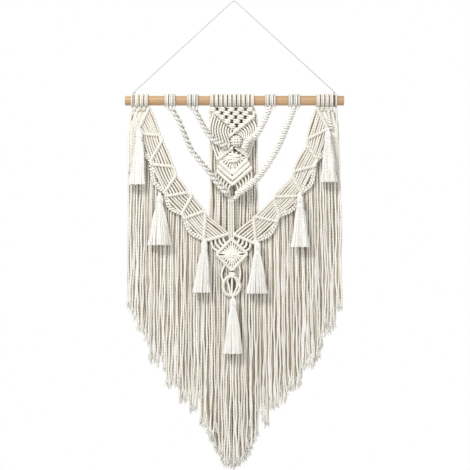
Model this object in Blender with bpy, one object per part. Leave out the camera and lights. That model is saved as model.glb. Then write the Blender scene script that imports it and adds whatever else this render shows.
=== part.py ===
"""Macrame wall hanging on a wooden rod.

Cotton cords are knotted into two swag bands, four twisted sinnets, a centre panel and a medallion. A curtain of
straight cords hangs behind them, a fringe hangs from the bands, and seven tassels are tied in front. Metres, +Z up,
+X to the viewer's right, the wall at +Y. The origin is where the string hangs from its nail.
"""

import math
import random
from collections import namedtuple

import bmesh
import bpy
from mathutils import Vector

# Clearance between pieces that touch.
GAP = 0.0003

# Rod.
ROD_LENGTH = 0.450
ROD_RADIUS = 0.010
ROD_BEVEL = 0.0012
ROD_X = 0.001
ROD_Z = -0.204
ROD_SIDES = 24

# Hanging string.
STRING_RADIUS = 0.001
STRING_RIGHT_X = 0.206
STRING_LEFT_X = -0.205
STRING_BEND = 0.006
STRING_KNOT_RADIUS = 0.0022
STRING_KNOT_Z = ROD_Z + 0.0166
STRING_TURN_SIDES = 12
STRING_RUN_POINTS = 18
STRING_BEND_POINTS = 9

# Cords, bars and knots.
CORD_HALF_WIDTH = 0.0030
CORD_HALF_DEPTH = 0.0017
CORD_SIDES = 3
CORD_FIRST_CORNER = math.radians(-90)
CORD_STEP = 0.022
BAR_RADIUS = 0.0034
BAR_SIDES = 6
BAR_FIRST_CORNER = math.radians(30)
BAR_GROOVE = 0.84
BAR_RIDGE_PITCH = 0.016
SLEEVE_RADIUS = 0.0140
SLEEVE_GROOVE = 0.0010
SLEEVE_SIDES = 10
LARKS_HEAD_PITCH = 0.0091
STRING_SLOT = 0.0032
KNOT_ROW_Z = ROD_Z - 0.0165
KNOT_ROW_Y = -0.001
KNOT_ROW_RADIUS = 0.0038

# Depths of the layers, at their middles. The wall is at +Y.
NET_Y = -0.0035
CORD_Y = NET_Y + 0.0002
FRONT_Y = -0.0128
TASSEL_Y = -0.0122
STRAND_DEPTH = 0.0034
FRINGE_Y = NET_Y + BAR_RADIUS + GAP + STRAND_DEPTH / 2
CURTAIN_Y = FRINGE_Y + STRAND_DEPTH + 0.0016

# Sinnets.
SINNET_HALF_WIDTH = 0.0055
SINNET_HALF_DEPTH = 0.0038
SINNET_STEP = 0.0075
SINNET_TURN = math.radians(50)

# Swag bands: a row for each bar, from its inner end to its outer end.
Bar = namedtuple("Bar", "inner_x inner_z outer_x outer_z")
LEFT_BARS = (
    Bar(-0.174, -0.224, -0.194, -0.270),
    Bar(-0.151, -0.276, -0.187, -0.273),
    Bar(-0.147, -0.289, -0.171, -0.331),
    Bar(-0.124, -0.340, -0.170, -0.335),
    Bar(-0.119, -0.358, -0.142, -0.392),
    Bar(-0.094, -0.393, -0.140, -0.401),
    Bar(-0.086, -0.399, -0.107, -0.436),
    Bar(-0.060, -0.431, -0.102, -0.446),
    Bar(-0.058, -0.439, -0.062, -0.489),
    Bar(-0.011, -0.478, -0.057, -0.492),
)
RIGHT_BARS = (
    Bar(0.170, -0.223, 0.191, -0.256),
    Bar(0.148, -0.284, 0.189, -0.269),
    Bar(0.150, -0.297, 0.171, -0.326),
    Bar(0.121, -0.350, 0.165, -0.339),
    Bar(0.120, -0.361, 0.138, -0.393),
    Bar(0.081, -0.402, 0.136, -0.400),
    Bar(0.081, -0.406, 0.093, -0.440),
    Bar(0.043, -0.443, 0.088, -0.452),
    Bar(0.040, -0.447, 0.045, -0.492),
    Bar(-0.001, -0.479, 0.043, -0.498),
)
BAND_CORD_FRACTIONS = (0.24, 0.42, 0.60, 0.78, 0.96)
HEADING_CORDS = 4
SCALLOP_BULGE = 0.008

# Headings on the rod: a row for each, by its ends along X.
Heading = namedtuple("Heading", "from_x to_x")
HEADINGS = {
    "swag_left": Heading(-0.212, -0.175),
    "outer_left": Heading(-0.143, -0.120),
    "inner_left": Heading(-0.097, -0.073),
    "centre": Heading(-0.050, 0.042),
    "inner_right": Heading(0.063, 0.086),
    "outer_right": Heading(0.111, 0.136),
    "swag_right": Heading(0.168, 0.212),
}

# Sinnets: a row for each place that the rope passes.
Place = namedtuple("Place", "x y z")
SINNETS = {
    "outer_left": (
        Place(-0.132, -0.001, -0.219),
        Place(-0.114, -0.003, -0.240),
        Place(-0.106, -0.004, -0.261),
        Place(-0.088, -0.006, -0.305),
        Place(-0.057, -0.012, -0.344),
        Place(-0.033, FRONT_Y, -0.375),
        Place(-0.013, FRONT_Y, -0.397),
    ),
    "outer_right": (
        Place(0.125, -0.001, -0.219),
        Place(0.107, -0.003, -0.260),
        Place(0.087, -0.006, -0.305),
        Place(0.056, -0.012, -0.354),
        Place(0.033, FRONT_Y, -0.377),
        Place(0.005, FRONT_Y, -0.398),
    ),
    "inner_left": (
        Place(-0.084, -0.001, -0.219),
        Place(-0.072, -0.004, -0.240),
        Place(-0.055, -0.012, -0.270),
        Place(-0.039, FRONT_Y, -0.287),
        Place(-0.016, FRONT_Y, -0.299),
    ),
    "inner_right": (
        Place(0.075, -0.001, -0.219),
        Place(0.062, -0.004, -0.246),
        Place(0.045, -0.012, -0.276),
        Place(0.029, FRONT_Y, -0.286),
        Place(0.020, FRONT_Y, -0.303),
    ),
}

# Centre panel: knots, bars and cords, each by the places that it fills or passes.
Knot = namedtuple("Knot", "x z half_width half_height half_depth")
NET_KNOTS = (
    Knot(-0.030, -0.230, 0.0085, 0.0050, 0.0034),
    Knot(-0.005, -0.230, 0.0085, 0.0050, 0.0034),
    Knot(0.020, -0.230, 0.0085, 0.0050, 0.0034),
    Knot(-0.0175, -0.242, 0.0085, 0.0050, 0.0034),
    Knot(0.0075, -0.242, 0.0085, 0.0050, 0.0034),
    Knot(-0.005, -0.254, 0.0085, 0.0050, 0.0034),
)
BERRY_KNOT = Knot(0.006, -0.2885, 0.0115, 0.0110, 0.0050)
SQUARE_KNOT = Knot(-0.002, -0.323, 0.0145, 0.0080, 0.0042)
JOIN_KNOT = Knot(-0.006, -0.407, 0.0085, 0.0090, 0.0034)
BUNDLE_TOP_Z = -0.410
BUNDLE_FOOT_Z = -0.4743
BUNDLE_HALF_WIDTH = 0.0055
PANEL_BARS = (
    ((-0.047, -0.223), (0.006, -0.270)),
    ((0.043, -0.225), (-0.010, -0.286)),
    ((-0.033, -0.325), (0.001, -0.301), (0.028, -0.324)),
    ((-0.030, -0.330), (-0.004, -0.354), (0.028, -0.327)),
    ((-0.033, -0.338), (-0.003, -0.365), (0.033, -0.337)),
    ((-0.035, -0.348), (-0.003, -0.376), (0.036, -0.347)),
)
NET_CORDS = (
    ((-0.035, -0.219), (-0.035, -0.231)),
    ((-0.026, -0.219), (-0.026, -0.231)),
    ((-0.010, -0.219), (-0.010, -0.231)),
    ((0.000, -0.219), (0.000, -0.231)),
    ((0.015, -0.219), (0.015, -0.231)),
    ((0.025, -0.219), (0.025, -0.231)),
    ((0.034, -0.219), (0.034, -0.237)),
    ((0.022, -0.231), (0.026, -0.248)),
    ((0.011, -0.243), (0.016, -0.259)),
)
PANEL_CORDS = (
    ((-0.040, -0.229), (-0.0475, -0.262), (-0.040, -0.296), (-0.031, -0.324)),
    ((-0.031, -0.238), (-0.037, -0.264), (-0.029, -0.292), (-0.022, -0.316)),
    ((-0.022, -0.246), (-0.026, -0.266), (-0.018, -0.288), (-0.010, -0.308)),
    ((-0.012, -0.255), (-0.015, -0.268), (-0.008, -0.284)),
    ((0.033, -0.237), (0.042, -0.262), (0.036, -0.294), (0.027, -0.323)),
    ((0.024, -0.248), (0.031, -0.266), (0.026, -0.290), (0.017, -0.314)),
    ((0.014, -0.258), (0.017, -0.268), (0.012, -0.282)),
    ((-0.020, -0.315), (-0.011, -0.321)),
    ((-0.008, -0.307), (-0.006, -0.318)),
    ((0.008, -0.307), (0.003, -0.318)),
    ((0.018, -0.315), (0.009, -0.321)),
    ((-0.006, -0.328), (-0.010, -0.349)),
    ((0.002, -0.328), (0.004, -0.348)),
    ((-0.022, -0.337), (-0.024, -0.347)),
    ((0.018, -0.335), (0.021, -0.347)),
    ((-0.025, -0.345), (-0.026, -0.357)),
    ((0.024, -0.344), (0.026, -0.356)),
    ((-0.031, -0.351), (-0.030, -0.372), (-0.017, -0.396), (-0.009, -0.407)),
    ((-0.020, -0.361), (-0.020, -0.378), (-0.012, -0.396), (-0.008, -0.405)),
    ((-0.007, -0.373), (-0.010, -0.388), (-0.007, -0.404)),
    ((0.002, -0.373), (0.007, -0.388), (-0.003, -0.405)),
    ((0.018, -0.362), (0.019, -0.379), (0.006, -0.397), (-0.003, -0.407)),
    ((0.031, -0.351), (0.030, -0.372), (0.014, -0.397), (0.000, -0.410)),
)

# Medallion: a diamond round a knot, and a smaller ring under it.
DIAMOND = ((-0.005, -0.488), (-0.036, -0.520), (-0.004, -0.553), (0.027, -0.519))
DIAMOND_RADIUS = 0.0035
DIAMOND_KNOT = Knot(-0.004, -0.520, 0.0070, 0.0070, 0.0040)
RING = ((-0.004, -0.558), (-0.026, -0.584), (-0.001, -0.608), (0.016, -0.584))
RING_RADIUS = 0.0026
RING_CORDS = (
    ((-0.004, -0.546), (-0.004, -0.564)),
    ((-0.011, -0.566), (-0.010, -0.600)),
    ((-0.001, -0.561), (0.000, -0.606)),
)

# Curtain and fringe: where the roots run and where the ends hang, by X.
Spot = namedtuple("Spot", "x z")
STRAND_WIDTH = 0.0036
STRIP_HEIGHT = 0.006
STRAND_LEVELS = (0.08, 1.0)
STRAND_SWAY = 0.0006
STRAND_TAPER = 0.8
CURTAIN_STRANDS = 20
FRINGE_STRANDS = 40
LEFT_SPREAD = -0.008
RIGHT_SPREAD = 0.010
CURTAIN_ROOTS = (
    Spot(-0.051, ROD_Z - 0.0135),
    Spot(0.049, ROD_Z - 0.0135),
)
LEFT_ROOTS = (
    Spot(-0.213, -0.2248),
    Spot(-0.203, -0.2248),
    Spot(-0.190, -0.262),
    Spot(-0.172, -0.326),
    Spot(-0.142, -0.390),
    Spot(-0.105, -0.436),
    Spot(-0.062, -0.482),
    Spot(-0.012, -0.476),
)
RIGHT_ROOTS = (
    Spot(-0.004, -0.476),
    Spot(0.043, -0.488),
    Spot(0.090, -0.440),
    Spot(0.137, -0.390),
    Spot(0.168, -0.326),
    Spot(0.189, -0.258),
    Spot(0.203, -0.2248),
    Spot(0.213, -0.2248),
)
STRAND_ENDS = (
    Spot(-0.224, -0.630),
    Spot(-0.205, -0.675),
    Spot(-0.184, -0.700),
    Spot(-0.172, -0.748),
    Spot(-0.134, -0.797),
    Spot(-0.115, -0.805),
    Spot(-0.086, -0.849),
    Spot(-0.056, -0.879),
    Spot(-0.037, -0.927),
    Spot(-0.008, -0.962),
    Spot(0.008, -0.962),
    Spot(0.023, -0.939),
    Spot(0.045, -0.902),
    Spot(0.068, -0.876),
    Spot(0.105, -0.835),
    Spot(0.140, -0.797),
    Spot(0.171, -0.750),
    Spot(0.184, -0.722),
    Spot(0.209, -0.675),
    Spot(0.228, -0.628),
)

# Tassels: the top of each tie, the length below it, and half the width at the skirt. A head's rings run down from
# its tie, which leans back to the band that carries it.
Tassel = namedtuple("Tassel", "x y top_z length half_width")
TASSELS = {
    "left_upper": Tassel(-0.199, TASSEL_Y, -0.262, 0.116, 0.015),
    "left_middle": Tassel(-0.152, TASSEL_Y, -0.395, 0.107, 0.023),
    "left_lower": Tassel(-0.064, TASSEL_Y, -0.489, 0.110, 0.018),
    "centre": Tassel(-0.002, TASSEL_Y, -0.606, 0.118, 0.020),
    "right_lower": Tassel(0.046, TASSEL_Y, -0.492, 0.109, 0.020),
    "right_middle": Tassel(0.136, TASSEL_Y, -0.396, 0.110, 0.019),
    "right_upper": Tassel(0.196, TASSEL_Y, -0.254, 0.116, 0.017),
}
HeadRing = namedtuple("HeadRing", "down radius back")
TASSEL_HEAD = (
    HeadRing(0.000, 0.0013, 0.0035),
    HeadRing(0.007, 0.0014, 0.0015),
    HeadRing(0.010, 0.0044, 0.0),
    HeadRing(0.014, 0.0048, 0.0),
    HeadRing(0.018, 0.0040, 0.0),
    HeadRing(0.021, 0.0046, 0.0),
)
TASSEL_SIDES = 6
TASSEL_HALF_DEPTH = 0.0078
LOCK_INSET = 0.00025
LOCK_LEVELS = ((0.45, 0.75), (1.0, 1.0))

COTTON = ("cotton_cord", (0.90, 0.86, 0.78, 1.0), 0.9)
TASSEL_COTTON = ("tassel_cotton", (0.95, 0.93, 0.89, 1.0), 0.9)
STRING_COTTON = ("string", (0.78, 0.77, 0.74, 1.0), 0.85)
WOOD = ("wood", (0.72, 0.46, 0.23, 1.0), 0.5)


def material(name, colour, roughness):
    """The Principled material of that name, made once."""
    made = bpy.data.materials.get(name)
    if made is None:
        made = bpy.data.materials.new(name)
        made.use_nodes = True
        shader = made.node_tree.nodes["Principled BSDF"]
        shader.inputs["Base Color"].default_value = colour
        shader.inputs["Roughness"].default_value = roughness
        shader.inputs["Metallic"].default_value = 0.0
    return made


def add_object(name, shells, finish):
    """An object of closed shells, each a list of points and a list of faces, with its faces turned outwards."""
    bm = bmesh.new()
    for points, faces in shells:
        verts = [bm.verts.new(point) for point in points]
        for face in faces:
            bm.faces.new([verts[index] for index in face])
    bmesh.ops.recalc_face_normals(bm, faces=bm.faces)
    mesh = bpy.data.meshes.new(name)
    bm.to_mesh(mesh)
    bm.free()
    mesh.shade_smooth()
    mesh.set_sharp_from_angle(angle=math.radians(40))
    mesh.materials.append(material(*finish))
    made = bpy.data.objects.new(name, mesh)
    bpy.context.scene.collection.objects.link(made)
    return made


def add_fused(name, shells, finish):
    """One body from overlapping shells: the first one, with a Boolean union of the rest."""
    body = add_object(name, shells[:1], finish)
    rest = add_object(name + "_joined", shells[1:], finish)
    rest.hide_render = True
    rest.display_type = "WIRE"
    union = body.modifiers.new("Fuse", "BOOLEAN")
    union.operation = "UNION"
    union.use_self = True
    union.object = rest
    return body


def tube_faces(rings, sides, closed):
    """Faces between successive rings of points, with end caps unless the rings close on themselves."""
    faces = []
    for ring in range(rings if closed else rings - 1):
        here, there = ring * sides, (ring + 1) % rings * sides
        for side in range(sides):
            after = (side + 1) % sides
            faces.append((here + side, here + after, there + after, there + side))
    if not closed:
        faces.append(tuple(range(sides)))
        faces.append(tuple(range((rings - 1) * sides, rings * sides)))
    return faces


def tube(path, sizes, sides, turns=None, first_corner=0.0):
    """A shell along path. sizes holds each ring's half width, in the hanging's plane, and half depth, across it."""
    points = []
    count = len(path)
    for index, centre in enumerate(path):
        ahead = path[min(index + 1, count - 1)]
        behind = path[max(index - 1, 0)]
        along = (ahead - behind).normalized()
        side_axis = along.cross(Vector((0, 1, 0))).normalized()
        depth_axis = side_axis.cross(along)
        half_width, half_depth = sizes[index]
        turn = turns[index] if turns else 0.0
        for side in range(sides):
            angle = first_corner + 2 * math.pi * side / sides
            across = half_width * math.cos(angle)
            deep = half_depth * math.sin(angle)
            points.append(
                centre
                + side_axis * (across * math.cos(turn) - deep * math.sin(turn))
                + depth_axis * (across * math.sin(turn) + deep * math.cos(turn))
            )
    return points, tube_faces(count, sides, closed=False)


def smooth_path(places, step):
    """Points about step apart on a smooth curve through places."""
    knots = [places[0] * 2 - places[1], *places, places[-1] * 2 - places[-2]]
    fine = []
    for before, start, end, after in zip(knots, knots[1:], knots[2:], knots[3:]):
        for share in (0.0, 0.25, 0.5, 0.75):
            fine.append(
                0.5
                * (
                    2 * start
                    + (end - before) * share
                    + (2 * before - 5 * start + 4 * end - after) * share**2
                    + (3 * start - before - 3 * end + after) * share**3
                )
            )
    fine.append(places[-1])
    lengths = [0.0]
    for start, end in zip(fine, fine[1:]):
        lengths.append(lengths[-1] + (end - start).length)
    count = max(2, round(lengths[-1] / step) + 1)
    path, reached = [], 0
    for index in range(count):
        wanted = lengths[-1] * index / (count - 1)
        while reached < len(fine) - 2 and lengths[reached + 1] < wanted:
            reached += 1
        share = (wanted - lengths[reached]) / (lengths[reached + 1] - lengths[reached])
        path.append(fine[reached].lerp(fine[reached + 1], share))
    return path


def at_depth(places, y):
    """Vectors from (x, z) places at one depth."""
    return [Vector((x, y, z)) for x, z in places]


def cord(places):
    """A three-sided strand through (x, z) places, with one edge to the front."""
    path = at_depth(places, CORD_Y)
    if len(places) > 2:
        path = smooth_path(path, CORD_STEP)
    sizes = [(CORD_HALF_WIDTH, CORD_HALF_DEPTH)] * len(path)
    return tube(path, sizes, CORD_SIDES, first_corner=CORD_FIRST_CORNER)


def ridged_bar(start, end, radius=BAR_RADIUS, y=NET_Y):
    """A straight bar of half hitches from one (x, z) place to another, its ridges as rings of two radii."""
    start, end = at_depth((start, end), y)
    ridges = max(2, round((end - start).length / BAR_RIDGE_PITCH))
    path, sizes = [], []
    for index in range(2 * ridges + 1):
        path.append(start.lerp(end, index / (2 * ridges)))
        thick = radius if index % 2 else radius * BAR_GROOVE
        sizes.append((thick, thick))
    return tube(path, sizes, BAR_SIDES, first_corner=BAR_FIRST_CORNER)


def bent_bar(places, radius=BAR_RADIUS, y=NET_Y):
    """One shell for each straight run of a bent bar. The runs overlap at the bends."""
    return [ridged_bar(start, end, radius, y) for start, end in zip(places, places[1:])]


def knot(shape, y=NET_Y):
    """A plump six-sided knot, widest at its middle."""
    rows = ((-1.0, 0.45), (-0.5, 0.95), (0.5, 0.95), (1.0, 0.45))
    path = [Vector((shape.x, y, shape.z + share * shape.half_height)) for share, _ in rows]
    sizes = [(shape.half_width * thick, shape.half_depth * thick) for _, thick in rows]
    return tube(path, sizes, 6)


def sleeve(from_x, to_x):
    """Turns of cord round the rod: a ridged ring with a bore that clears the rod."""
    ridges = max(1, round((to_x - from_x) / LARKS_HEAD_PITCH))
    bore = (ROD_RADIUS + GAP) / math.cos(math.pi / SLEEVE_SIDES)
    profile = [(to_x, bore), (from_x, bore)]
    for index in range(2 * ridges + 1):
        radius = SLEEVE_RADIUS if index % 2 else SLEEVE_RADIUS - SLEEVE_GROOVE
        profile.append((from_x + (to_x - from_x) * index / (2 * ridges), radius))
    points = []
    for side in range(SLEEVE_SIDES):
        angle = 2 * math.pi * side / SLEEVE_SIDES
        for x, radius in profile:
            points.append(Vector((x, radius * math.sin(angle), ROD_Z + radius * math.cos(angle))))
    return points, tube_faces(SLEEVE_SIDES, len(profile), closed=True)


def heading(name, slot_x=None):
    """The cords' mounting on the rod: ridged sleeves, parted where the string passes, over one row of knots."""
    row = HEADINGS[name]
    if slot_x is None:
        parts = [(row.from_x, row.to_x)]
    else:
        parts = [(row.from_x, slot_x - STRING_SLOT / 2), (slot_x + STRING_SLOT / 2, row.to_x)]
    shells = [sleeve(start, end) for start, end in parts]
    ends = (row.from_x + GAP, KNOT_ROW_Z), (row.to_x - GAP, KNOT_ROW_Z)
    shells.append(ridged_bar(*ends, KNOT_ROW_RADIUS, KNOT_ROW_Y))
    return shells


def along_bar(bar, share, from_outer):
    """The (x, z) place a share of the way along a bar, from its outer or its inner end."""
    inner, outer = Vector((bar.inner_x, bar.inner_z)), Vector((bar.outer_x, bar.outer_z))
    start, end = (outer, inner) if from_outer else (inner, outer)
    return tuple(start.lerp(end, share))


def add_swag_band(side, bars, slot_x):
    """One band: its heading, its zigzag of bars, the parallel cords between them and the outer scallops."""
    shells = heading("swag_" + side, slot_x)
    outward = -1 if side == "left" else 1
    shells += [ridged_bar((bar.inner_x, bar.inner_z), (bar.outer_x, bar.outer_z)) for bar in bars]
    row = HEADINGS["swag_" + side]
    for index in range(HEADING_CORDS):
        share = (index + 0.5) / HEADING_CORDS
        inner_x, outer_x = (row.to_x, row.from_x) if outward < 0 else (row.from_x, row.to_x)
        x = inner_x + (outer_x - inner_x) * share * 0.7
        shells.append(cord(((x, KNOT_ROW_Z), along_bar(bars[0], share, from_outer=False))))
    for index, (upper, lower) in enumerate(zip(bars, bars[1:])):
        from_outer = index % 2 == 0
        for share in BAND_CORD_FRACTIONS:
            ends = along_bar(upper, share, from_outer), along_bar(lower, share, from_outer)
            shells.append(cord(ends))
        if not from_outer:
            middle_x = (upper.outer_x + lower.outer_x) / 2 + outward * SCALLOP_BULGE
            middle_z = (upper.outer_z + lower.outer_z) / 2 - SCALLOP_BULGE / 2
            ends = (upper.outer_x, upper.outer_z), (lower.outer_x, lower.outer_z)
            shells.append(cord((ends[0], (middle_x, middle_z), ends[1])))
    add_fused("swag_band_" + side, shells, COTTON)


def add_sinnet(side):
    """A twisted rope of half knots: a flat section that turns as it runs down from its heading."""
    places = [Vector(place) for place in SINNETS[side]]
    path = smooth_path(places, SINNET_STEP)
    sizes = [(SINNET_HALF_WIDTH, SINNET_HALF_DEPTH)] * len(path)
    turns = [SINNET_TURN * index for index in range(len(path))]
    add_fused("sinnet_" + side, [*heading(side), tube(path, sizes, 4, turns)], COTTON)


def add_centre_panel():
    """The knotted net, its V bars, the diamond and the nested bars, down to the bundle over the medallion."""
    shells = heading("centre")
    for shape in (*NET_KNOTS, BERRY_KNOT, SQUARE_KNOT, JOIN_KNOT):
        shells.append(knot(shape))
    for places in PANEL_BARS:
        shells += bent_bar(places)
    for upper, lower in zip((0, 1, 1, 2, 3, 4), (3, 3, 4, 4, 5, 5)):
        first, second = NET_KNOTS[upper], NET_KNOTS[lower]
        shells.append(cord(((first.x, first.z), (second.x, second.z))))
    for places in (*NET_CORDS, *PANEL_CORDS):
        shells.append(cord(places))
    ends = at_depth(((JOIN_KNOT.x, BUNDLE_TOP_Z), (JOIN_KNOT.x, BUNDLE_FOOT_Z)), NET_Y)
    shells.append(tube(ends, [(BUNDLE_HALF_WIDTH, BAR_RADIUS)] * 2, 6))
    add_fused("centre_panel", shells, COTTON)


def add_medallion():
    """The diamond with cords that run out from its knot, and the ring below with two cords inside."""
    shells = [knot(DIAMOND_KNOT)]
    shells += bent_bar((*DIAMOND, DIAMOND[0]), DIAMOND_RADIUS)
    shells += bent_bar((*RING, RING[0]), RING_RADIUS)
    centre = (DIAMOND_KNOT.x, DIAMOND_KNOT.z)
    for start, end in zip(DIAMOND, (*DIAMOND[1:], DIAMOND[0])):
        middle = ((start[0] + end[0]) / 2, (start[1] + end[1]) / 2)
        shells += [cord((centre, start)), cord((centre, middle))]
    shells += [cord(places) for places in RING_CORDS]
    add_fused("medallion", shells, COTTON)


def height_at(spots, x):
    """The Z of a row of spots at x, straight between them and level past their ends."""
    if x <= spots[0].x:
        return spots[0].z
    for left, right in zip(spots, spots[1:]):
        if x <= right.x:
            return left.z + (right.z - left.z) * (x - left.x) / (right.x - left.x)
    return spots[-1].z


def add_strands(name, roots, count, y, seed, spread=0.0):
    """A narrow strip along roots with count strands fused to its underside, each as long as its place asks.

    The strand furthest from the middle hangs spread outside its root, and the others less.
    """
    rng = random.Random(seed)
    pitch = (roots[-1].x - roots[0].x - STRAND_WIDTH) / (count - 1)
    front, back = y - STRAND_DEPTH / 2, y + STRAND_DEPTH / 2
    points, faces = [], []
    for column in range(count):
        for x in (roots[0].x + pitch * column, roots[0].x + pitch * column + STRAND_WIDTH):
            top = height_at(roots, x)
            for corner_y, z in ((front, top), (front, top - STRIP_HEIGHT), (back, top - STRIP_HEIGHT), (back, top)):
                points.append(Vector((x, corner_y, z)))
    edges = 2 * count
    for edge in range(edges - 1):
        here, there = 4 * edge, 4 * edge + 4
        for corner in (0, 2, 3):
            after = (corner + 1) % 4
            faces.append((here + corner, here + after, there + after, there + corner))
        if edge % 2:
            faces.append((here + 1, here + 2, there + 2, there + 1))
            continue
        ring = [here + 1, there + 1, there + 2, here + 2]
        root_x = points[here].x + STRAND_WIDTH / 2
        centre_x = root_x + spread * abs(root_x) / max(-roots[0].x, roots[-1].x)
        top, foot = points[there + 1].z, height_at(STRAND_ENDS, centre_x)
        low_root = min(points[here + 1].z, points[there + 1].z)
        for level in STRAND_LEVELS:
            sway = rng.uniform(-STRAND_SWAY, STRAND_SWAY)
            half = STRAND_WIDTH / 2 * (1 - (1 - STRAND_TAPER) * level)
            z = low_root + (foot - top) * level
            new_ring = []
            for corner_x, corner_y in ((-half, front), (half, front), (half, back), (-half, back)):
                new_ring.append(len(points))
                points.append(Vector((centre_x + sway + corner_x, corner_y, z)))
            for corner in range(4):
                after = (corner + 1) % 4
                faces.append((ring[corner], ring[after], new_ring[after], new_ring[corner]))
            ring = new_ring
        faces.append(tuple(ring))
    last = 4 * (edges - 1)
    faces += [(0, 1, 2, 3), (last, last + 1, last + 2, last + 3)]
    return add_object(name, [(points, faces)], COTTON)


def add_tassel(name, row):
    """A wrapped head whose underside is parted into locks, each drawn down and outwards to the skirt."""
    bm = bmesh.new()
    rings = []
    for down, radius, back in TASSEL_HEAD:
        ring = []
        for side in range(TASSEL_SIDES):
            angle = 2 * math.pi * side / TASSEL_SIDES
            ring.append(bm.verts.new((radius * math.cos(angle), back + radius * math.sin(angle), -down)))
        rings.append(ring)
    bm.faces.new(rings[0])
    for upper, lower in zip(rings, rings[1:]):
        for side in range(TASSEL_SIDES):
            after = (side + 1) % TASSEL_SIDES
            bm.faces.new((upper[side], upper[after], lower[after], lower[side]))
    foot, neck_radius = TASSEL_HEAD[-1].down, TASSEL_HEAD[-1].radius
    middle = bm.verts.new((0, 0, -foot))
    inner = [bm.verts.new((vert.co.x * 0.5, vert.co.y * 0.5, -foot)) for vert in rings[-1]]
    locks = []
    for side in range(TASSEL_SIDES):
        after = (side + 1) % TASSEL_SIDES
        locks.append(bm.faces.new((rings[-1][side], rings[-1][after], inner[after], inner[side])))
    for side in range(0, TASSEL_SIDES, 2):
        ends = inner[side], inner[side + 1], inner[(side + 2) % TASSEL_SIDES]
        locks.append(bm.faces.new((middle, *ends)))
    bmesh.ops.recalc_face_normals(bm, faces=bm.faces)
    bmesh.ops.inset_individual(bm, faces=locks, thickness=LOCK_INSET)
    reach_x, reach_y = 1.0, 1.0
    for level, spread in LOCK_LEVELS:
        wanted_x = 1 + (row.half_width / neck_radius - 1) * spread
        wanted_y = 1 + (TASSEL_HALF_DEPTH / neck_radius - 1) * spread
        locks = bmesh.ops.extrude_discrete_faces(bm, faces=locks)["faces"]
        for lock in locks:
            for vert in lock.verts:
                vert.co.x *= wanted_x / reach_x
                vert.co.y *= wanted_y / reach_y
                vert.co.z = -foot - (row.length - foot) * level
        reach_x, reach_y = wanted_x, wanted_y
    mesh = bpy.data.meshes.new(name)
    bm.to_mesh(mesh)
    bm.free()
    mesh.shade_smooth()
    mesh.set_sharp_from_angle(angle=math.radians(40))
    mesh.materials.append(material(*TASSEL_COTTON))
    made = bpy.data.objects.new(name, mesh)
    made.location = (row.x, row.y, row.top_z)
    bpy.context.scene.collection.objects.link(made)


def add_rod():
    """The dowel, with a bevel round each end face."""
    half = ROD_LENGTH / 2
    rows = (
        (-half, ROD_RADIUS - ROD_BEVEL),
        (-half + ROD_BEVEL, ROD_RADIUS),
        (half - ROD_BEVEL, ROD_RADIUS),
        (half, ROD_RADIUS - ROD_BEVEL),
    )
    path = [Vector((ROD_X + x, 0, ROD_Z)) for x, _ in rows]
    sizes = [(radius, radius) for _, radius in rows]
    add_object("rod", [tube(path, sizes, ROD_SIDES)], WOOD)


def string_direction(knot_x):
    """The unit vector from a string knot towards the nail's place."""
    return Vector((-knot_x, 0, -STRING_KNOT_Z)).normalized()


def add_string():
    """The string: a straight run up from each knot, joined by a small round bend at the top."""
    apex = Vector((0, 0, STRING_RADIUS))
    start = STRING_KNOT_RADIUS + GAP
    rises, bends = [], []
    for knot_x in (STRING_LEFT_X, STRING_RIGHT_X):
        towards = string_direction(knot_x)
        first = Vector((knot_x, 0, STRING_KNOT_Z)) + towards * start
        last = apex - towards * STRING_BEND
        rises.append([first.lerp(last, index / STRING_RUN_POINTS) for index in range(STRING_RUN_POINTS)])
        bends.append(last)
    bend = []
    for index in range(STRING_BEND_POINTS):
        share = index / (STRING_BEND_POINTS - 1)
        low, high = bends[0].lerp(apex, share), apex.lerp(bends[1], share)
        bend.append(low.lerp(high, share))
    lift = apex.z - bend[STRING_BEND_POINTS // 2].z
    path = [point + Vector((0, 0, lift)) for point in (*rises[0], *bend, *reversed(rises[1]))]
    curve = bpy.data.curves.new("hanging_string", "CURVE")
    curve.dimensions = "3D"
    curve.bevel_depth = STRING_RADIUS
    curve.bevel_resolution = 2
    curve.use_fill_caps = True
    spline = curve.splines.new("POLY")
    spline.points.add(len(path) - 1)
    for point, place in zip(spline.points, path):
        point.co = (*place, 1.0)
    curve.materials.append(material(*STRING_COTTON))
    bpy.context.scene.collection.objects.link(bpy.data.objects.new("hanging_string", curve))


def add_string_knot(side, x):
    """One turn of string round the rod, and the knot over it where the string leaves."""
    radius = (ROD_RADIUS + GAP) / math.cos(math.pi / STRING_TURN_SIDES) + STRING_RADIUS
    loop = []
    for index in range(STRING_TURN_SIDES):
        angle = 2 * math.pi * index / STRING_TURN_SIDES
        loop.append((radius * math.sin(angle), ROD_Z + radius * math.cos(angle)))
    points = []
    for y, z in loop:
        outward = Vector((0, y, z - ROD_Z)).normalized()
        for corner in range(6):
            angle = 2 * math.pi * corner / 6
            offset = outward * (STRING_RADIUS * math.cos(angle)) + Vector((STRING_RADIUS * math.sin(angle), 0, 0))
            points.append(Vector((x, y, z)) + offset)
    ring = points, tube_faces(STRING_TURN_SIDES, 6, closed=True)
    neck = [Vector((x, 0, ROD_Z + radius)), Vector((x, 0, STRING_KNOT_Z))]
    neck_radius = STRING_RADIUS * 0.9
    ball = Knot(x, STRING_KNOT_Z, STRING_KNOT_RADIUS, STRING_KNOT_RADIUS, STRING_KNOT_RADIUS)
    shells = [ring, tube(neck, [(neck_radius, neck_radius)] * 2, 6), knot(ball, y=0)]
    add_fused("string_knot_" + side, shells, STRING_COTTON)


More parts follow.
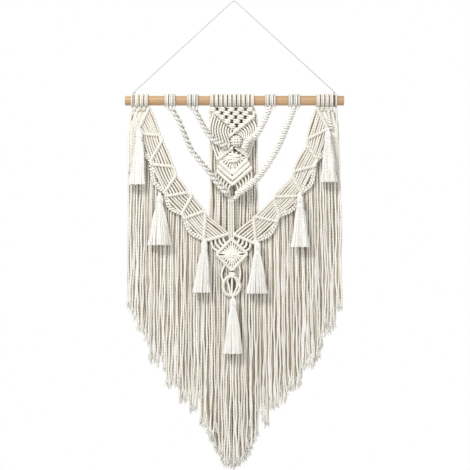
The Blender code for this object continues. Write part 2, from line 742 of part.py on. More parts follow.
def main():
    for leftover in list(bpy.data.objects):
        bpy.data.objects.remove(leftover, do_unlink=True)
    add_rod()
    add_string()
    add_string_knot("left", STRING_LEFT_X)
    add_string_knot("right", STRING_RIGHT_X)
    add_strands("back_curtain", CURTAIN_ROOTS, CURTAIN_STRANDS, CURTAIN_Y, 1)
    add_strands("fringe_left", LEFT_ROOTS, FRINGE_STRANDS, FRINGE_Y, 2, LEFT_SPREAD)
    add_strands("fringe_right", RIGHT_ROOTS, FRINGE_STRANDS, FRINGE_Y, 3, RIGHT_SPREAD)
    add_swag_band("left", LEFT_BARS, STRING_LEFT_X)
    add_swag_band("right", RIGHT_BARS, STRING_RIGHT_X)
    for side in SINNETS:
        add_sinnet(side)
    add_centre_panel()
    add_medallion()
    for place, row in TASSELS.items():
        add_tassel("tassel_" + place, row)


main()
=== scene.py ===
"""Dressed model of a macrame wall hanging: cotton cords, knots and tassels on a wooden rod.

Each sub-assembly is a class that makes its own mesh. Metres, +Z up, +X to the viewer's right, the wall at +Y,
and the origin where the string hangs from its nail.
"""

import logging
import math
from dataclasses import dataclass, field, replace
from enum import Enum
from typing import Any, NamedTuple

import bmesh
import bpy
import numpy as np
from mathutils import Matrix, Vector


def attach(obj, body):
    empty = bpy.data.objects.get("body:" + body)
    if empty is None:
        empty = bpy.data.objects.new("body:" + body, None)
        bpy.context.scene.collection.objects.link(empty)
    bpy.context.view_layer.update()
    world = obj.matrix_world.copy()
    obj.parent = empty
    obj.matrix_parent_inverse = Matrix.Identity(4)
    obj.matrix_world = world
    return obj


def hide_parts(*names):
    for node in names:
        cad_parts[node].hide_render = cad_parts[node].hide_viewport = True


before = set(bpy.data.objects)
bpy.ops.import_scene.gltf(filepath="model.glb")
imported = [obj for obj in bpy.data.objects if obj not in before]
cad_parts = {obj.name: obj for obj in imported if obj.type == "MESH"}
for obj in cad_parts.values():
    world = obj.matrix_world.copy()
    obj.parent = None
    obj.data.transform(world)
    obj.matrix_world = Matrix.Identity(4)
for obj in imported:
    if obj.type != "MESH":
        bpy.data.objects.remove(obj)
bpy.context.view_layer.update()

LOG = logging.getLogger("macrame")
BODY = "root"

Colour = tuple[float, float, float, float]
Place = tuple[float, float]

# The rod's place, the string's knots above it, and the depths of the layers at their middles.
ROD_X = 0.001
ROD_Z = -0.204
ROD_RADIUS = 0.010
STRING_KNOT_Z = ROD_Z + 0.0166
FRONT_Y = -0.0128
TASSEL_Y = -0.0122
PROUD_Y = -0.0056
BAR_Y = -0.0035
FRINGE_Y = 0.0022
CURTAIN_Y = 0.0092
LAYER_STEP = 0.0035

# The strip of the curtain whose tone is darkened as painted shade from the centre panel.
PANEL_X = -0.004
PANEL_HALF_WIDTH = 0.036

# The cords: three plies, laid up with one turn in each pitch.
CORD_RADIUS = 0.0021
PLY_PITCH = 0.019
PLY_COUNT = 3
PLY_DEPTH = 0.13
LINE_STEP = 0.002

# The tip of a square knot's rings in degrees, the step between cords' maps, and the pale tone that a cord's
# back keeps whatever shade is painted on its front.
KNOT_LEAN = 4.0
MAP_STEP = 0.00731
BACK_TONE = 0.9

# The share of a turn that spreads fibres evenly round a tassel.
GOLDEN_SHARE = 0.618034
FRONT = np.array((0.0, -1.0, 0.0))
BEHIND = np.array((0.0, 1.0, 0.0))
UP = np.array((0.0, 0.0, 1.0))


class Slot(Enum):
    """The record's material slots."""

    WOOD = "wood"
    CORD = "cotton_cord"
    TASSEL = "tassel_cotton"
    STRING = "string"


class Section(Enum):
    """How finely a cord is made: its number of corners. Plies show only on a cord of six."""

    PLIED = 6
    PLAIN = 4
    FIBRE = 3


class Side(Enum):
    """The two halves of the hanging, each by the sign of its X."""

    LEFT = -1
    RIGHT = 1


class Bar(NamedTuple):
    """A knotted bar of a swag band, from its inner end to its outer end."""

    inner: Place
    outer: Place


class Knot(NamedTuple):
    """A square knot by its middle and half its width and height."""

    x: float
    z: float
    half_width: float
    half_height: float


LEFT_BARS = (
    Bar((-0.1735, -0.218), (-0.196, -0.263)),
    Bar((-0.151, -0.276), (-0.187, -0.273)),
    Bar((-0.147, -0.286), (-0.171, -0.327)),
    Bar((-0.124, -0.340), (-0.170, -0.335)),
    Bar((-0.119, -0.358), (-0.142, -0.392)),
    Bar((-0.094, -0.393), (-0.140, -0.401)),
    Bar((-0.086, -0.399), (-0.107, -0.436)),
    Bar((-0.060, -0.431), (-0.102, -0.446)),
    Bar((-0.058, -0.439), (-0.062, -0.489)),
    Bar((-0.011, -0.478), (-0.057, -0.492)),
)
RIGHT_BARS = (
    Bar((0.1695, -0.219), (0.192, -0.260)),
    Bar((0.149, -0.284), (0.192, -0.263)),
    Bar((0.150, -0.297), (0.171, -0.326)),
    Bar((0.121, -0.350), (0.165, -0.339)),
    Bar((0.120, -0.361), (0.138, -0.393)),
    Bar((0.081, -0.402), (0.136, -0.400)),
    Bar((0.081, -0.406), (0.093, -0.440)),
    Bar((0.043, -0.443), (0.088, -0.452)),
    Bar((0.040, -0.447), (0.045, -0.492)),
    Bar((-0.001, -0.479), (0.043, -0.498)),
)
LEFT_ROOTS = (
    (-0.215, -0.2248), (-0.187, -0.2248), (-0.183, -0.268), (-0.172, -0.326), (-0.142, -0.390),
    (-0.105, -0.436), (-0.062, -0.482), (-0.006, -0.476),
)
RIGHT_ROOTS = (
    (-0.004, -0.476), (0.043, -0.488), (0.090, -0.440), (0.137, -0.390), (0.168, -0.326), (0.181, -0.268),
    (0.185, -0.2248), (0.217, -0.2248),
)
STRAND_ENDS = (
    (-0.222, -0.630), (-0.214, -0.631), (-0.202, -0.671), (-0.191, -0.678), (-0.179, -0.706),
    (-0.173, -0.748), (-0.146, -0.750), (-0.140, -0.789), (-0.115, -0.801), (-0.111, -0.828),
    (-0.094, -0.832), (-0.090, -0.847), (-0.072, -0.848), (-0.066, -0.873), (-0.047, -0.906),
    (-0.041, -0.922), (-0.029, -0.933), (-0.021, -0.955), (-0.002, -0.961), (0.014, -0.953),
    (0.027, -0.941), (0.033, -0.922), (0.041, -0.918), (0.046, -0.894), (0.070, -0.869), (0.074, -0.842),
    (0.103, -0.827), (0.109, -0.801), (0.136, -0.795), (0.142, -0.758), (0.169, -0.750), (0.181, -0.725),
    (0.187, -0.688), (0.208, -0.669), (0.212, -0.635), (0.227, -0.630),
)


def unit(vectors: np.ndarray) -> np.ndarray:
    """The vectors, each divided by its length."""
    lengths = np.linalg.norm(vectors, axis=-1, keepdims=True)
    return vectors / np.maximum(lengths, 1e-12)


def travelled(points: np.ndarray) -> np.ndarray:
    """The distance along a line of points, at each of them."""
    steps = np.linalg.norm(np.diff(points, axis=0), axis=1)
    return np.concatenate(([0.0], np.cumsum(steps)))


def tangents(points: np.ndarray, closed: bool = False) -> np.ndarray:
    """The unit direction of a line of points, at each of them.

    Args:
        points: The line's points.
        closed: Whether its last point runs on to its first.

    Returns:
        A unit vector for each point.
    """
    if closed:
        return unit(np.roll(points, -1, axis=0) - np.roll(points, 1, axis=0))
    padded = np.concatenate((points[:1], points, points[-1:]))
    return unit(padded[2:] - padded[:-2])


def height_at(places: tuple[Place, ...], x: float) -> float:
    """The Z of a row of places at x, straight between them."""
    return float(np.interp(x, [place[0] for place in places], [place[1] for place in places]))


def flat(places: list[Place] | tuple[Place, ...], y: float) -> np.ndarray:
    """Points from (x, z) places at one depth."""
    return np.array([(x, y, z) for x, z in places])


def oval(shape: Knot, y: float) -> np.ndarray:
    """The closed line round an oval of that middle and those half sizes, at one depth.

    Args:
        shape: Its middle and half sizes.
        y: Its depth.

    Returns:
        The line's points, of which the last is the first again.
    """
    angle = np.linspace(0.0, 2 * math.pi, 61)
    across, along = shape.x + shape.half_width * np.sin(angle), shape.z + shape.half_height * np.cos(angle)
    return np.stack((across, np.full_like(angle, y), along), axis=1)


def between(first: Place, second: Place, share: float) -> Place:
    """The place a share of the way from the first to the second."""
    return tuple(a + (b - a) * share for a, b in zip(first, second))


def resampled(points: np.ndarray, wanted: np.ndarray) -> np.ndarray:
    """The places that lie at the wanted distances along a line of points."""
    along = travelled(points)
    return np.stack([np.interp(wanted, along, points[:, axis]) for axis in range(3)], axis=1)


def smooth(places: np.ndarray, step: float = LINE_STEP) -> np.ndarray:
    """A smooth line through places.

    Args:
        places: The points that the line passes.
        step: The rough distance between the points of the line, in metres.

    Returns:
        Points an even distance apart.
    """
    if len(places) > 2:
        knots = np.concatenate(([places[0] * 2 - places[1]], places, [places[-1] * 2 - places[-2]]))
        share = np.linspace(0.0, 1.0, 9)[:-1, None]
        runs = []
        for before, start, end, after in zip(knots, knots[1:], knots[2:], knots[3:]):
            square = 2 * before - 5 * start + 4 * end - after
            cube = 3 * start - before - 3 * end + after
            runs.append(0.5 * (2 * start + (end - before) * share + square * share**2 + cube * share**3))
        places = np.concatenate((*runs, places[-1:]))
    length = travelled(places)[-1]
    return resampled(places, np.linspace(0.0, length, max(2, round(length / step) + 1)))


def level_line(places: list[Place] | tuple[Place, ...], y: float, step: float = LINE_STEP) -> np.ndarray:
    """A smooth line through (x, z) places at one depth."""
    return smooth(flat(places, y), step)


@dataclass(frozen=True)
class Route:
    """A cord's centreline, and which way the cord's outer side faces at each of its points.

    Crest is 1 where the cord stands proud of what it is wound round, and less where it sinks in or where
    shade is painted along an edge; the tone falls with it as painted shade.
    """

    points: np.ndarray
    facing: np.ndarray
    closed: bool = False
    crest: float | np.ndarray = 1.0

    @classmethod
    def hanging(cls, points: np.ndarray) -> "Route":
        """A route in the hanging's own plane, whose outer side is the front."""
        return cls(points, np.broadcast_to(FRONT, points.shape))

    @classmethod
    def through(cls, places: list[Place] | tuple[Place, ...], y: float) -> "Route":
        """A smooth route through (x, z) places at one depth."""
        return cls.hanging(level_line(places, y))

    @classmethod
    def ring(cls, centre: np.ndarray, wide: np.ndarray, deep: np.ndarray, count: int) -> "Route":
        """A closed loop.

        Args:
            centre: The loop's middle.
            wide: One half axis of the loop.
            deep: The other half axis.
            count: The number of its points.

        Returns:
            The loop, with its outer side away from its middle.
        """
        angles = np.arange(count)[:, None] * (2 * math.pi / count)
        offsets = wide * np.cos(angles) + deep * np.sin(angles)
        squares = (wide @ wide, deep @ deep)
        outward = wide * np.cos(angles) / squares[0] + deep * np.sin(angles) / squares[1]
        return cls(centre + offsets, unit(outward), closed=True)

    @classmethod
    def coil(cls, core: np.ndarray, reach: float, pitch: float, steps: int = 10) -> "Route":
        """A cord wound round a core.

        Args:
            core: The points of the core's line.
            reach: The distance from the core's line to the wound cord's middle.
            pitch: The distance along the core from turn to turn.
            steps: The number of points in a turn.

        Returns:
            The winding, with its outer side away from the core.
        """
        length = travelled(core)[-1]
        turns = max(1, round(length / pitch))
        wanted = np.linspace(0.0, length, turns * steps + 1)
        line = resampled(core, wanted)
        direction = tangents(line)
        across = unit(np.cross(direction, BEHIND))
        depth = np.cross(across, direction)
        angle = (wanted / length * turns * 2 * math.pi)[:, None]
        offset = across * (reach * np.cos(angle)) + depth * (reach * np.sin(angle))
        return cls(line + offset, unit(offset))


@dataclass
class Skein:
    """Cords gathered into one mesh, with a UV map and a tone at each point.

    The map runs round the cord in U, and in metres along it in V.
    Tone carries painted shade: about 1 where a cord is lit, falling to 0 and below where it lies deep between
    others.
    """

    points: list[np.ndarray] = field(default_factory=list)
    tones: list[np.ndarray] = field(default_factory=list)
    faces: dict[int, list[np.ndarray]] = field(default_factory=lambda: {4: [], 3: []})
    maps: dict[int, list[np.ndarray]] = field(default_factory=lambda: {4: [], 3: []})
    count: int = 0

    def lay(
        self,
        route: Route,
        radius: float | np.ndarray = CORD_RADIUS,
        section: Section = Section.PLIED,
        tone: float | np.ndarray = 1.0,
        side_shade: float = 0.35,
        sunk_shade: float = 0.6,
    ) -> None:
        """Sweeps one cord along a route, with painted shade in its tone that darkens only its front; its back
        stays pale.

        Args:
            route: The cord's centreline.
            radius: Its radius in metres, or one for each point.
            section: How finely it is made.
            tone: Its tone, with its painted shade, or one for each point.
            side_shade: How much painted shade darkens the tone at the cord's two flanks.
            sunk_shade: How much painted shade darkens the tone where the route lies low.
        """
        sides, plied = section.value, section is Section.PLIED
        rings = len(route.points)
        along = tangents(route.points, route.closed)
        first = unit(route.facing - along * np.sum(route.facing * along, axis=1)[:, None])
        second = np.cross(along, first)
        distance = travelled(route.points)
        if route.closed:
            length = distance[-1] + float(np.linalg.norm(route.points[0] - route.points[-1]))
            distance = np.append(distance, length)
            laid = max(1, round(length / PLY_PITCH)) / length
        else:
            laid = 1 / PLY_PITCH
        corner = np.arange(sides) / sides
        spin = distance * laid
        angle = 2 * math.pi * (corner[None, :] + (spin[:rings, None] if plied else 0.0))
        thick = np.broadcast_to(np.asarray(radius, float), (rings,))[:, None]
        if plied:
            thick = thick * (1 + PLY_DEPTH * np.cos(2 * math.pi * PLY_COUNT * corner))[None, :]
        offset = first[:, None] * (np.cos(angle) * thick)[..., None]
        offset = offset + second[:, None] * (np.sin(angle) * thick)[..., None]
        self.points.append((route.points[:, None] + offset).reshape(-1, 3))
        # Painted shade: the tone falls where the route sinks and at the flanks, and rises to BACK_TONE at the
        # back.
        base = np.broadcast_to(np.asarray(tone * (1 - sunk_shade * (1 - route.crest)), float), (rings,))[:, None]
        shaded = base * (1 - side_shade * np.sin(angle) ** 4)
        behind = np.clip(-2.0 * np.cos(angle) - 0.8, 0.0, 1.0)
        self.tones.append((shaded + np.maximum(BACK_TONE - shaded, 0.0) * behind).reshape(-1))
        shift = np.zeros_like(spin) if plied else -spin
        self._weave(rings, sides, distance + self.count * MAP_STEP % 0.5, shift, route.closed)
        self.count += rings * sides

    def _weave(self, rings: int, sides: int, distance: np.ndarray, shift: np.ndarray, closed: bool) -> None:
        """Adds the faces between a cord's rings, and its two ends, with their UVs.

        Each face starts at the corner from which its shorter diagonal runs, so that the plies wind evenly.

        Args:
            rings: The number of the cord's rings.
            sides: The number of corners in a ring.
            distance: How far along the cord each ring lies.
            shift: What each ring adds to the map's U.
            closed: Whether the last ring joins the first.
        """
        spans = rings if closed else rings - 1
        lower, corner = np.repeat(np.arange(spans), sides), np.tile(np.arange(sides), spans)
        after, upper = (corner + 1) % sides, (lower + 1) % rings
        places = ((lower, after), (upper, after), (upper, corner), (lower, corner))
        quads = np.stack([ring * sides + place for ring, place in places], 1)
        around = np.stack((corner + 1, corner + 1, corner, corner), 1) / sides
        level = np.stack((lower, lower + 1, lower + 1, lower), 1)
        self.faces[4].append(quads + self.count)
        self.maps[4].append(np.stack((around + shift[level], distance[level]), -1))
        if closed:
            return
        for start, turned in ((0, True), ((rings - 1) * sides, False)):
            for face in self._cap(sides):
                corners = np.array(face[::-1] if turned else face)
                self.faces[len(face)].append(corners[None] + start + self.count)
                reached = np.full(len(face), distance[-1])
                self.maps[len(face)].append(np.stack((corners / sides, reached), -1)[None])

    @staticmethod
    def _cap(sides: int) -> list[tuple[int, ...]]:
        """The faces that close a ring of corners: one triangle, or a row of quads.

        Args:
            sides: The number of corners.

        Returns:
            The corners of each face.
        """
        if sides == Section.FIBRE.value:
            return [(0, 1, 2)]
        return [(0, corner, corner + 1, corner + 2) for corner in range(1, sides - 1, 2)]

    def piece(self, name: str, finish: "Cotton") -> bpy.types.Object:
        """Makes the gathered cords one finished piece.

        Args:
            name: The piece's name, which in small letters is that of the CAD node that it stands for.
            finish: What it is made of.

        Returns:
            The new object, riding on the model and in place of the node.
        """
        mesh = bpy.data.meshes.new(name)
        used = [size for size in (4, 3) if self.faces[size]]
        corners = [np.concatenate(self.faces[size]) for size in used]
        mapped = [np.concatenate(self.maps[size]) for size in used]
        sizes = np.concatenate([np.full(len(rows), rows.shape[1]) for rows in corners])
        loops = np.concatenate([rows.reshape(-1) for rows in corners])
        mesh.vertices.add(self.count)
        mesh.vertices.foreach_set("co", np.concatenate(self.points).reshape(-1))
        mesh.loops.add(len(loops))
        mesh.loops.foreach_set("vertex_index", loops)
        mesh.polygons.add(len(sizes))
        mesh.polygons.foreach_set("loop_start", np.concatenate(([0], np.cumsum(sizes)[:-1])))
        mesh.polygons.foreach_set("loop_total", sizes)
        layer = mesh.uv_layers.new(name="Lay")
        layer.data.foreach_set("uv", np.concatenate([rows.reshape(-1) for rows in mapped]))
        tone = mesh.attributes.new("tone", "FLOAT", "POINT")
        tone.data.foreach_set("value", np.concatenate(self.tones))
        mesh.update(calc_edges=True)
        mesh.shade_smooth()
        self._crease_ends(mesh)
        mesh.validate()
        made = bpy.data.objects.new(name, mesh)
        bpy.context.scene.collection.objects.link(made)
        return dress(made, finish, name.lower())

    def _crease_ends(self, mesh: bpy.types.Mesh) -> None:
        """Makes the edges round each cord's two ends sharp, so that the cord isn't shaded darker there.

        The faces of an end were added one by one, and those between rings all together.

        Args:
            mesh: The piece's mesh.
        """
        ends = [np.full(rows.size, len(rows) == 1) for size in (4, 3) for rows in self.faces[size]]
        edges = np.empty(len(mesh.loops), np.int32)
        mesh.loops.foreach_get("edge_index", edges)
        sharp = np.zeros(len(mesh.edges), bool)
        sharp[edges[np.concatenate(ends)]] = True
        mesh.edges.foreach_set("use_edge_sharp", sharp)

    # Shapes that macrame repeats.

    def bar(
        self, core: np.ndarray, radius: float, pitch: float = 0.0040, tone: float = 1.05, slim: float = 0.55
    ) -> None:
        """A bar of half hitches: a cord wound tightly round a core.

        Args:
            core: The core's line.
            radius: Half the bar's thickness.
            pitch: The distance from turn to turn.
            tone: The tone of the winding.
            slim: The wound cord's radius as a share of the bar's.
        """
        wound = radius * slim
        inner = max(radius * 0.8 - wound * 0.6, wound * 0.5)
        # The core is painted darker, as the shade between the turns of the winding.
        self.lay(Route.hanging(core), inner, Section.PLAIN, tone * 0.45)
        self.lay(Route.coil(core, radius - wound, pitch), wound, tone=tone, side_shade=0.25)

    def straight_bar(self, start: Place, end: Place, radius: float) -> None:
        """A straight bar from one (x, z) place to another, proud of the cords that it gathers."""
        self.bar(level_line((start, end), PROUD_Y), radius)

    def square_knot(self, knot: Knot, y: float, depth: float, radius: float, tone: float = 1.0) -> None:
        """A square knot: rings of cord, stacked and tipped to and fro round the cords that they bind.

        Args:
            knot: Its middle and half sizes.
            y: The depth of its middle.
            depth: Half its thickness.
            radius: The cord's radius.
            tone: Its tone.
        """
        rows = max(2, round(knot.half_height / radius))
        spread = (knot.half_height - radius) * 2 / (rows - 1)
        for row in range(rows):
            lean = math.radians(KNOT_LEAN if row % 2 else -KNOT_LEAN)
            z = knot.z + knot.half_height - radius - spread * row
            level = 2 * row / (rows - 1) - 1
            width = (knot.half_width - radius) * math.sqrt(1 - 0.5 * level**2)
            wide = np.array((math.cos(lean), 0.0, math.sin(lean))) * width
            centre = np.array((knot.x, y, z))
            deep = BEHIND * (depth - radius) * math.sqrt(1 - 0.35 * level**2)
            self.lay(Route.ring(centre, wide, deep, 26), radius, tone=tone, side_shade=0.5)

    def layer(
        self, line: np.ndarray, shadow: np.ndarray, radius: float | np.ndarray, tone: float, shadow_tone: float
    ) -> None:
        """A cord of a row, and behind the gap beside it a darker cord, of tone hidden, that is a painted
        shadow.

        Args:
            line: The line of the cord in front.
            shadow: The line of the one behind it.
            radius: The cords' radius.
            tone: The tone of the cord in front.
            shadow_tone: The tone of the painted shadow cord behind the gap.
        """
        self.lay(Route.hanging(line), radius, tone=tone, side_shade=0.75)
        thickest = float(np.max(radius))
        # Painted shadow: the dark cord behind the gap stands for the shade there.
        self.lay(Route.hanging(shadow + BEHIND * thickest * 1.9), thickest, Section.PLAIN, shadow_tone)

    def bundle(self, top: Place, foot: Place, half_width: float, y: float, radius: float, count: int) -> None:
        """Cords side by side from one place down to another, every other one a little behind and painted
        darker as shade.

        Args:
            top: The middle of its upper end.
            foot: The middle of its lower end.
            half_width: Half its width.
            y: Its depth.
            radius: The cords' radius.
            count: The number of its cords.
        """
        for index in range(count):
            shift = half_width * (2 * index / (count - 1) - 1)
            depth = y + (radius * 0.9 if index % 2 else -radius * 0.4)
            places = ((top[0] + shift, top[1]), (foot[0] + shift, foot[1]))
            self.lay(Route.through(places, depth), radius, tone=0.8 if index % 2 else 1.0)


class Value:
    """A shader socket that adds Math nodes when it is used in an expression."""

    def __init__(self, graph: "Graph", socket: bpy.types.NodeSocket) -> None:
        """Keeps the socket and the graph that it is in."""
        self.graph = graph
        self.socket = socket

    def _math(self, operation: str, *inputs: Any) -> "Value":
        """A Math node on the inputs."""
        made = self.graph.node("ShaderNodeMath", {"operation": operation}, dict(enumerate(inputs)))
        return Value(self.graph, made.outputs[0])

    def __add__(self, other: Any) -> "Value":
        """self + other."""
        return self._math("ADD", self, other)

    def __radd__(self, other: Any) -> "Value":
        """other + self."""
        return self._math("ADD", other, self)

    def __sub__(self, other: Any) -> "Value":
        """self - other."""
        return self._math("SUBTRACT", self, other)

    def __rsub__(self, other: Any) -> "Value":
        """other - self."""
        return self._math("SUBTRACT", other, self)

    def __mul__(self, other: Any) -> "Value":
        """self * other."""
        return self._math("MULTIPLY", self, other)

    def __rmul__(self, other: Any) -> "Value":
        """other * self."""
        return self._math("MULTIPLY", other, self)

    def wave(self) -> "Value":
        """A cosine wave of this value, from 0 to 1, with one crest for each whole number."""
        return self._math("COSINE", self * (2 * math.pi)) * 0.5 + 0.5

    def kept(self) -> "Value":
        """This value, kept from 0 to 1."""
        return self._math("MINIMUM", self._math("MAXIMUM", self, 0.0), 1.0)


class Graph:
    """The node tree of a material or a world."""

    def __init__(self, owner: bpy.types.Material | bpy.types.World) -> None:
        """Starts the owner's tree with only its first shader.

        Args:
            owner: The material or world.
        """
        self.owner = owner
        owner.use_nodes = True
        self.tree = owner.node_tree
        self.shader = next(node for node in self.tree.nodes if node.outputs)

    def feed(self, socket: bpy.types.NodeSocket, value: Any) -> None:
        """Links a socket to a value, or sets its number or colour.

        Args:
            socket: The socket.
            value: A value, another socket, a number or a colour.
        """
        if isinstance(value, Value):
            value = value.socket
        if isinstance(value, bpy.types.NodeSocket):
            self.tree.links.new(value, socket)
        else:
            socket.default_value = value

    def node(
        self, kind: str, settings: dict[str, Any] | None = None, inputs: dict[Any, Any] | None = None
    ) -> bpy.types.Node:
        """Adds a node.

        Args:
            kind: Its type.
            settings: Its settings, by name.
            inputs: What its sockets hold or are linked to, by name or number.

        Returns:
            The node.
        """
        made = self.tree.nodes.new(kind)
        for key, setting in (settings or {}).items():
            setattr(made, key, setting)
        for key, value in (inputs or {}).items():
            self.feed(made.inputs[key], value)
        return made

    def value(
        self, kind: str, output: str, settings: dict[str, Any] | None = None, inputs: Any = None
    ) -> Value:
        """A new node's output, as a value for expressions."""
        return Value(self, self.node(kind, settings, inputs).outputs[output])

    def mapped(self, vector: bpy.types.NodeSocket, **change: Any) -> bpy.types.NodeSocket:
        """A vector with its Location or Scale changed."""
        return self.node("ShaderNodeMapping", None, {"Vector": vector, **change}).outputs[0]

    def noise(self, vector: bpy.types.NodeSocket, scale: float, detail: float) -> Value:
        """Noise over a vector."""
        inputs = {"Vector": vector, "Scale": scale, "Detail": detail}
        return self.value("ShaderNodeTexNoise", "Fac", None, inputs)

    def blend(self, factor: Value, first: Any, second: Any) -> bpy.types.NodeSocket:
        """A colour between two, by a factor."""
        made = self.node("ShaderNodeMix", {"data_type": "RGBA"}, {0: factor, 6: first, 7: second})
        return made.outputs[2]

    def finish(self, colour: Any, roughness: Any, height: Value, distance: float) -> bpy.types.Material:
        """Wires the shader's colour, roughness and bump, and returns the material.

        Args:
            colour: The base colour.
            roughness: The roughness.
            height: The height of the bumps.
            distance: How far the bumps stand out, in metres.

        Returns:
            The material.
        """
        bump = self.node("ShaderNodeBump", None, {"Strength": 1.0, "Distance": distance, "Height": height})
        self.feed(self.shader.inputs["Base Color"], colour)
        self.feed(self.shader.inputs["Roughness"], roughness)
        self.feed(self.shader.inputs["Normal"], bump.outputs["Normal"])
        return self.owner


@dataclass(frozen=True)
class Cotton:
    """Cotton, twisted or combed: pale where it is lit, painted light brown as shade in its hollows and near
    black as shade deep between cords, with its plies and its fuzz.
    """

    name: str
    slot: Slot
    pale: Colour
    # Painted shade: the colour of the tone's hollows, the near black colour below tone 0, and how much the
    # grooves between plies and yarns are darkened.
    shade_tan: Colour
    hollow_shade: Colour = (0.075, 0.06, 0.04, 1.0)
    ply_shade: float = 0.14
    yarn_shade: float = 0.06
    relief: float = 0.0003
    sheen: float = 0.25

    def material(self) -> bpy.types.Material:
        """The material, made once.

        Returns:
            The material, with its tone, which carries the painted shade, read from the mesh.
        """
        found = bpy.data.materials.get(self.name)
        if found:
            return found
        graph = Graph(bpy.data.materials.new(self.name))
        place = graph.node("ShaderNodeTexCoord").outputs["Object"]
        lay = graph.node("ShaderNodeUVMap", {"uv_map": "Lay"}).outputs["UV"]
        split = graph.node("ShaderNodeSeparateXYZ", None, {"Vector": lay})
        around = Value(graph, split.outputs["X"])
        along = Value(graph, split.outputs["Y"])
        tone = graph.value("ShaderNodeAttribute", "Fac", {"attribute_name": "tone"})
        ply = (around * PLY_COUNT).wave()
        yarns = (around * (PLY_COUNT * 4) + along * 420.0).wave()
        fibres = graph.noise(graph.mapped(lay, Scale=(22.0, 260.0, 1.0)), 1.0, 4.0)
        fuzz = graph.noise(place, 1400.0, 3.0)
        blotch = graph.noise(place, 45.0, 2.0)
        # Painted shade: the grooves between plies and yarns darken the tone, which then mixes the pale colour
        # with the shade colour, and with the near black one below 0.
        shade = (1 - ply) * self.ply_shade + (1 - yarns) * self.yarn_shade
        lit = tone - shade + (fuzz - 0.5) * 0.2 + (fibres - 0.5) * 0.3 + (blotch - 0.5) * 0.3
        colour = graph.blend((0 - lit).kept(), graph.blend(lit.kept(), self.shade_tan, self.pale), self.hollow_shade)
        height = ply * 0.4 + yarns * (self.yarn_shade * 5.0) + fibres * 0.7 + fuzz * 0.4
        shader = graph.shader
        shader.inputs["Sheen Weight"].default_value = self.sheen
        shader.inputs["Sheen Roughness"].default_value = 0.6
        shader.inputs["Specular IOR Level"].default_value = 0.15
        return graph.finish(colour, 0.95 - fuzz * 0.1, height, self.relief)


@dataclass(frozen=True)
class OiledWood:
    """A light dowel: grain along it, rings on its sawn ends, and a thin satin oil."""

    name: str
    slot: Slot
    pale: Colour
    dark: Colour
    vein: Colour

    def material(self) -> bpy.types.Material:
        """The material of the rod.

        Returns:
            The material.
        """
        graph = Graph(bpy.data.materials.new(self.name))
        place = graph.node("ShaderNodeTexCoord").outputs["Object"]
        centred = graph.mapped(place, Location=(0.0, 0.003, -ROD_Z - 0.002))
        flat_place = graph.node("ShaderNodeVectorMath", {"operation": "MULTIPLY"}, {0: centred, 1: (0, 1, 1)})
        inputs = {0: flat_place.outputs[0]}
        reach = graph.value("ShaderNodeVectorMath", "Value", {"operation": "LENGTH"}, inputs)
        grain = graph.noise(graph.mapped(place, Scale=(7.0, 150.0, 150.0)), 1.0, 4.0)
        pores = graph.noise(graph.mapped(place, Scale=(30.0, 900.0, 900.0)), 1.0, 2.0)
        rings = (reach * 900.0 + grain * 1.6).wave()
        streak = ((grain - 0.35) * 2.2 * 0.6 + rings * 0.4).kept()
        base = graph.blend(streak, self.dark, self.pale)
        speck = ((pores - 0.58) * 5.0).kept() * 0.55
        colour = graph.blend(speck, base, self.vein)
        graph.shader.inputs["Coat Roughness"].default_value = 0.35
        graph.shader.inputs["Coat Weight"].default_value = 0.25
        return graph.finish(colour, 0.42 + pores * 0.2, grain * 0.5 + pores * 0.5, 0.0002)


def dress(piece: bpy.types.Object, finish: Cotton | OiledWood, *nodes: str) -> bpy.types.Object:
    """Gives a piece its finish and its place in the model.

    Args:
        piece: The object.
        finish: What it is made of.
        nodes: The CAD nodes that it stands for.

    Returns:
        The same object.
    """
    piece.data.materials.clear()
    piece.data.materials.append(finish.material())
    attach(piece, BODY)
    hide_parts(*nodes)
    return piece


# Each cotton's second colour is the darker colour of its painted shade.
CORD_COTTON = Cotton("natural cotton cord", Slot.CORD, (0.93, 0.91, 0.84, 1.0), (0.38, 0.30, 0.19, 1.0))
ROPE_COTTON = replace(
    CORD_COTTON, name="knotted cotton rope", pale=(0.95, 0.935, 0.88, 1.0), shade_tan=(0.28, 0.26, 0.21, 1.0)
)
TASSEL_FLOSS = Cotton(
    "combed cotton floss",
    Slot.TASSEL,
    (0.99, 0.98, 0.94, 1.0),
    (0.56, 0.53, 0.46, 1.0),
    ply_shade=0.05,
    yarn_shade=0.0,
    relief=0.0002,
    sheen=0.35,
)
STRING_YARN = Cotton(
    "grey cotton string", Slot.STRING, (0.72, 0.715, 0.69, 1.0), (0.35, 0.34, 0.32, 1.0), ply_shade=0.3
)
DOWEL_WOOD = OiledWood(
    "oiled dowel wood", Slot.WOOD, (0.60, 0.39, 0.21, 1.0), (0.43, 0.26, 0.12, 1.0), (0.24, 0.13, 0.06, 1.0)
)


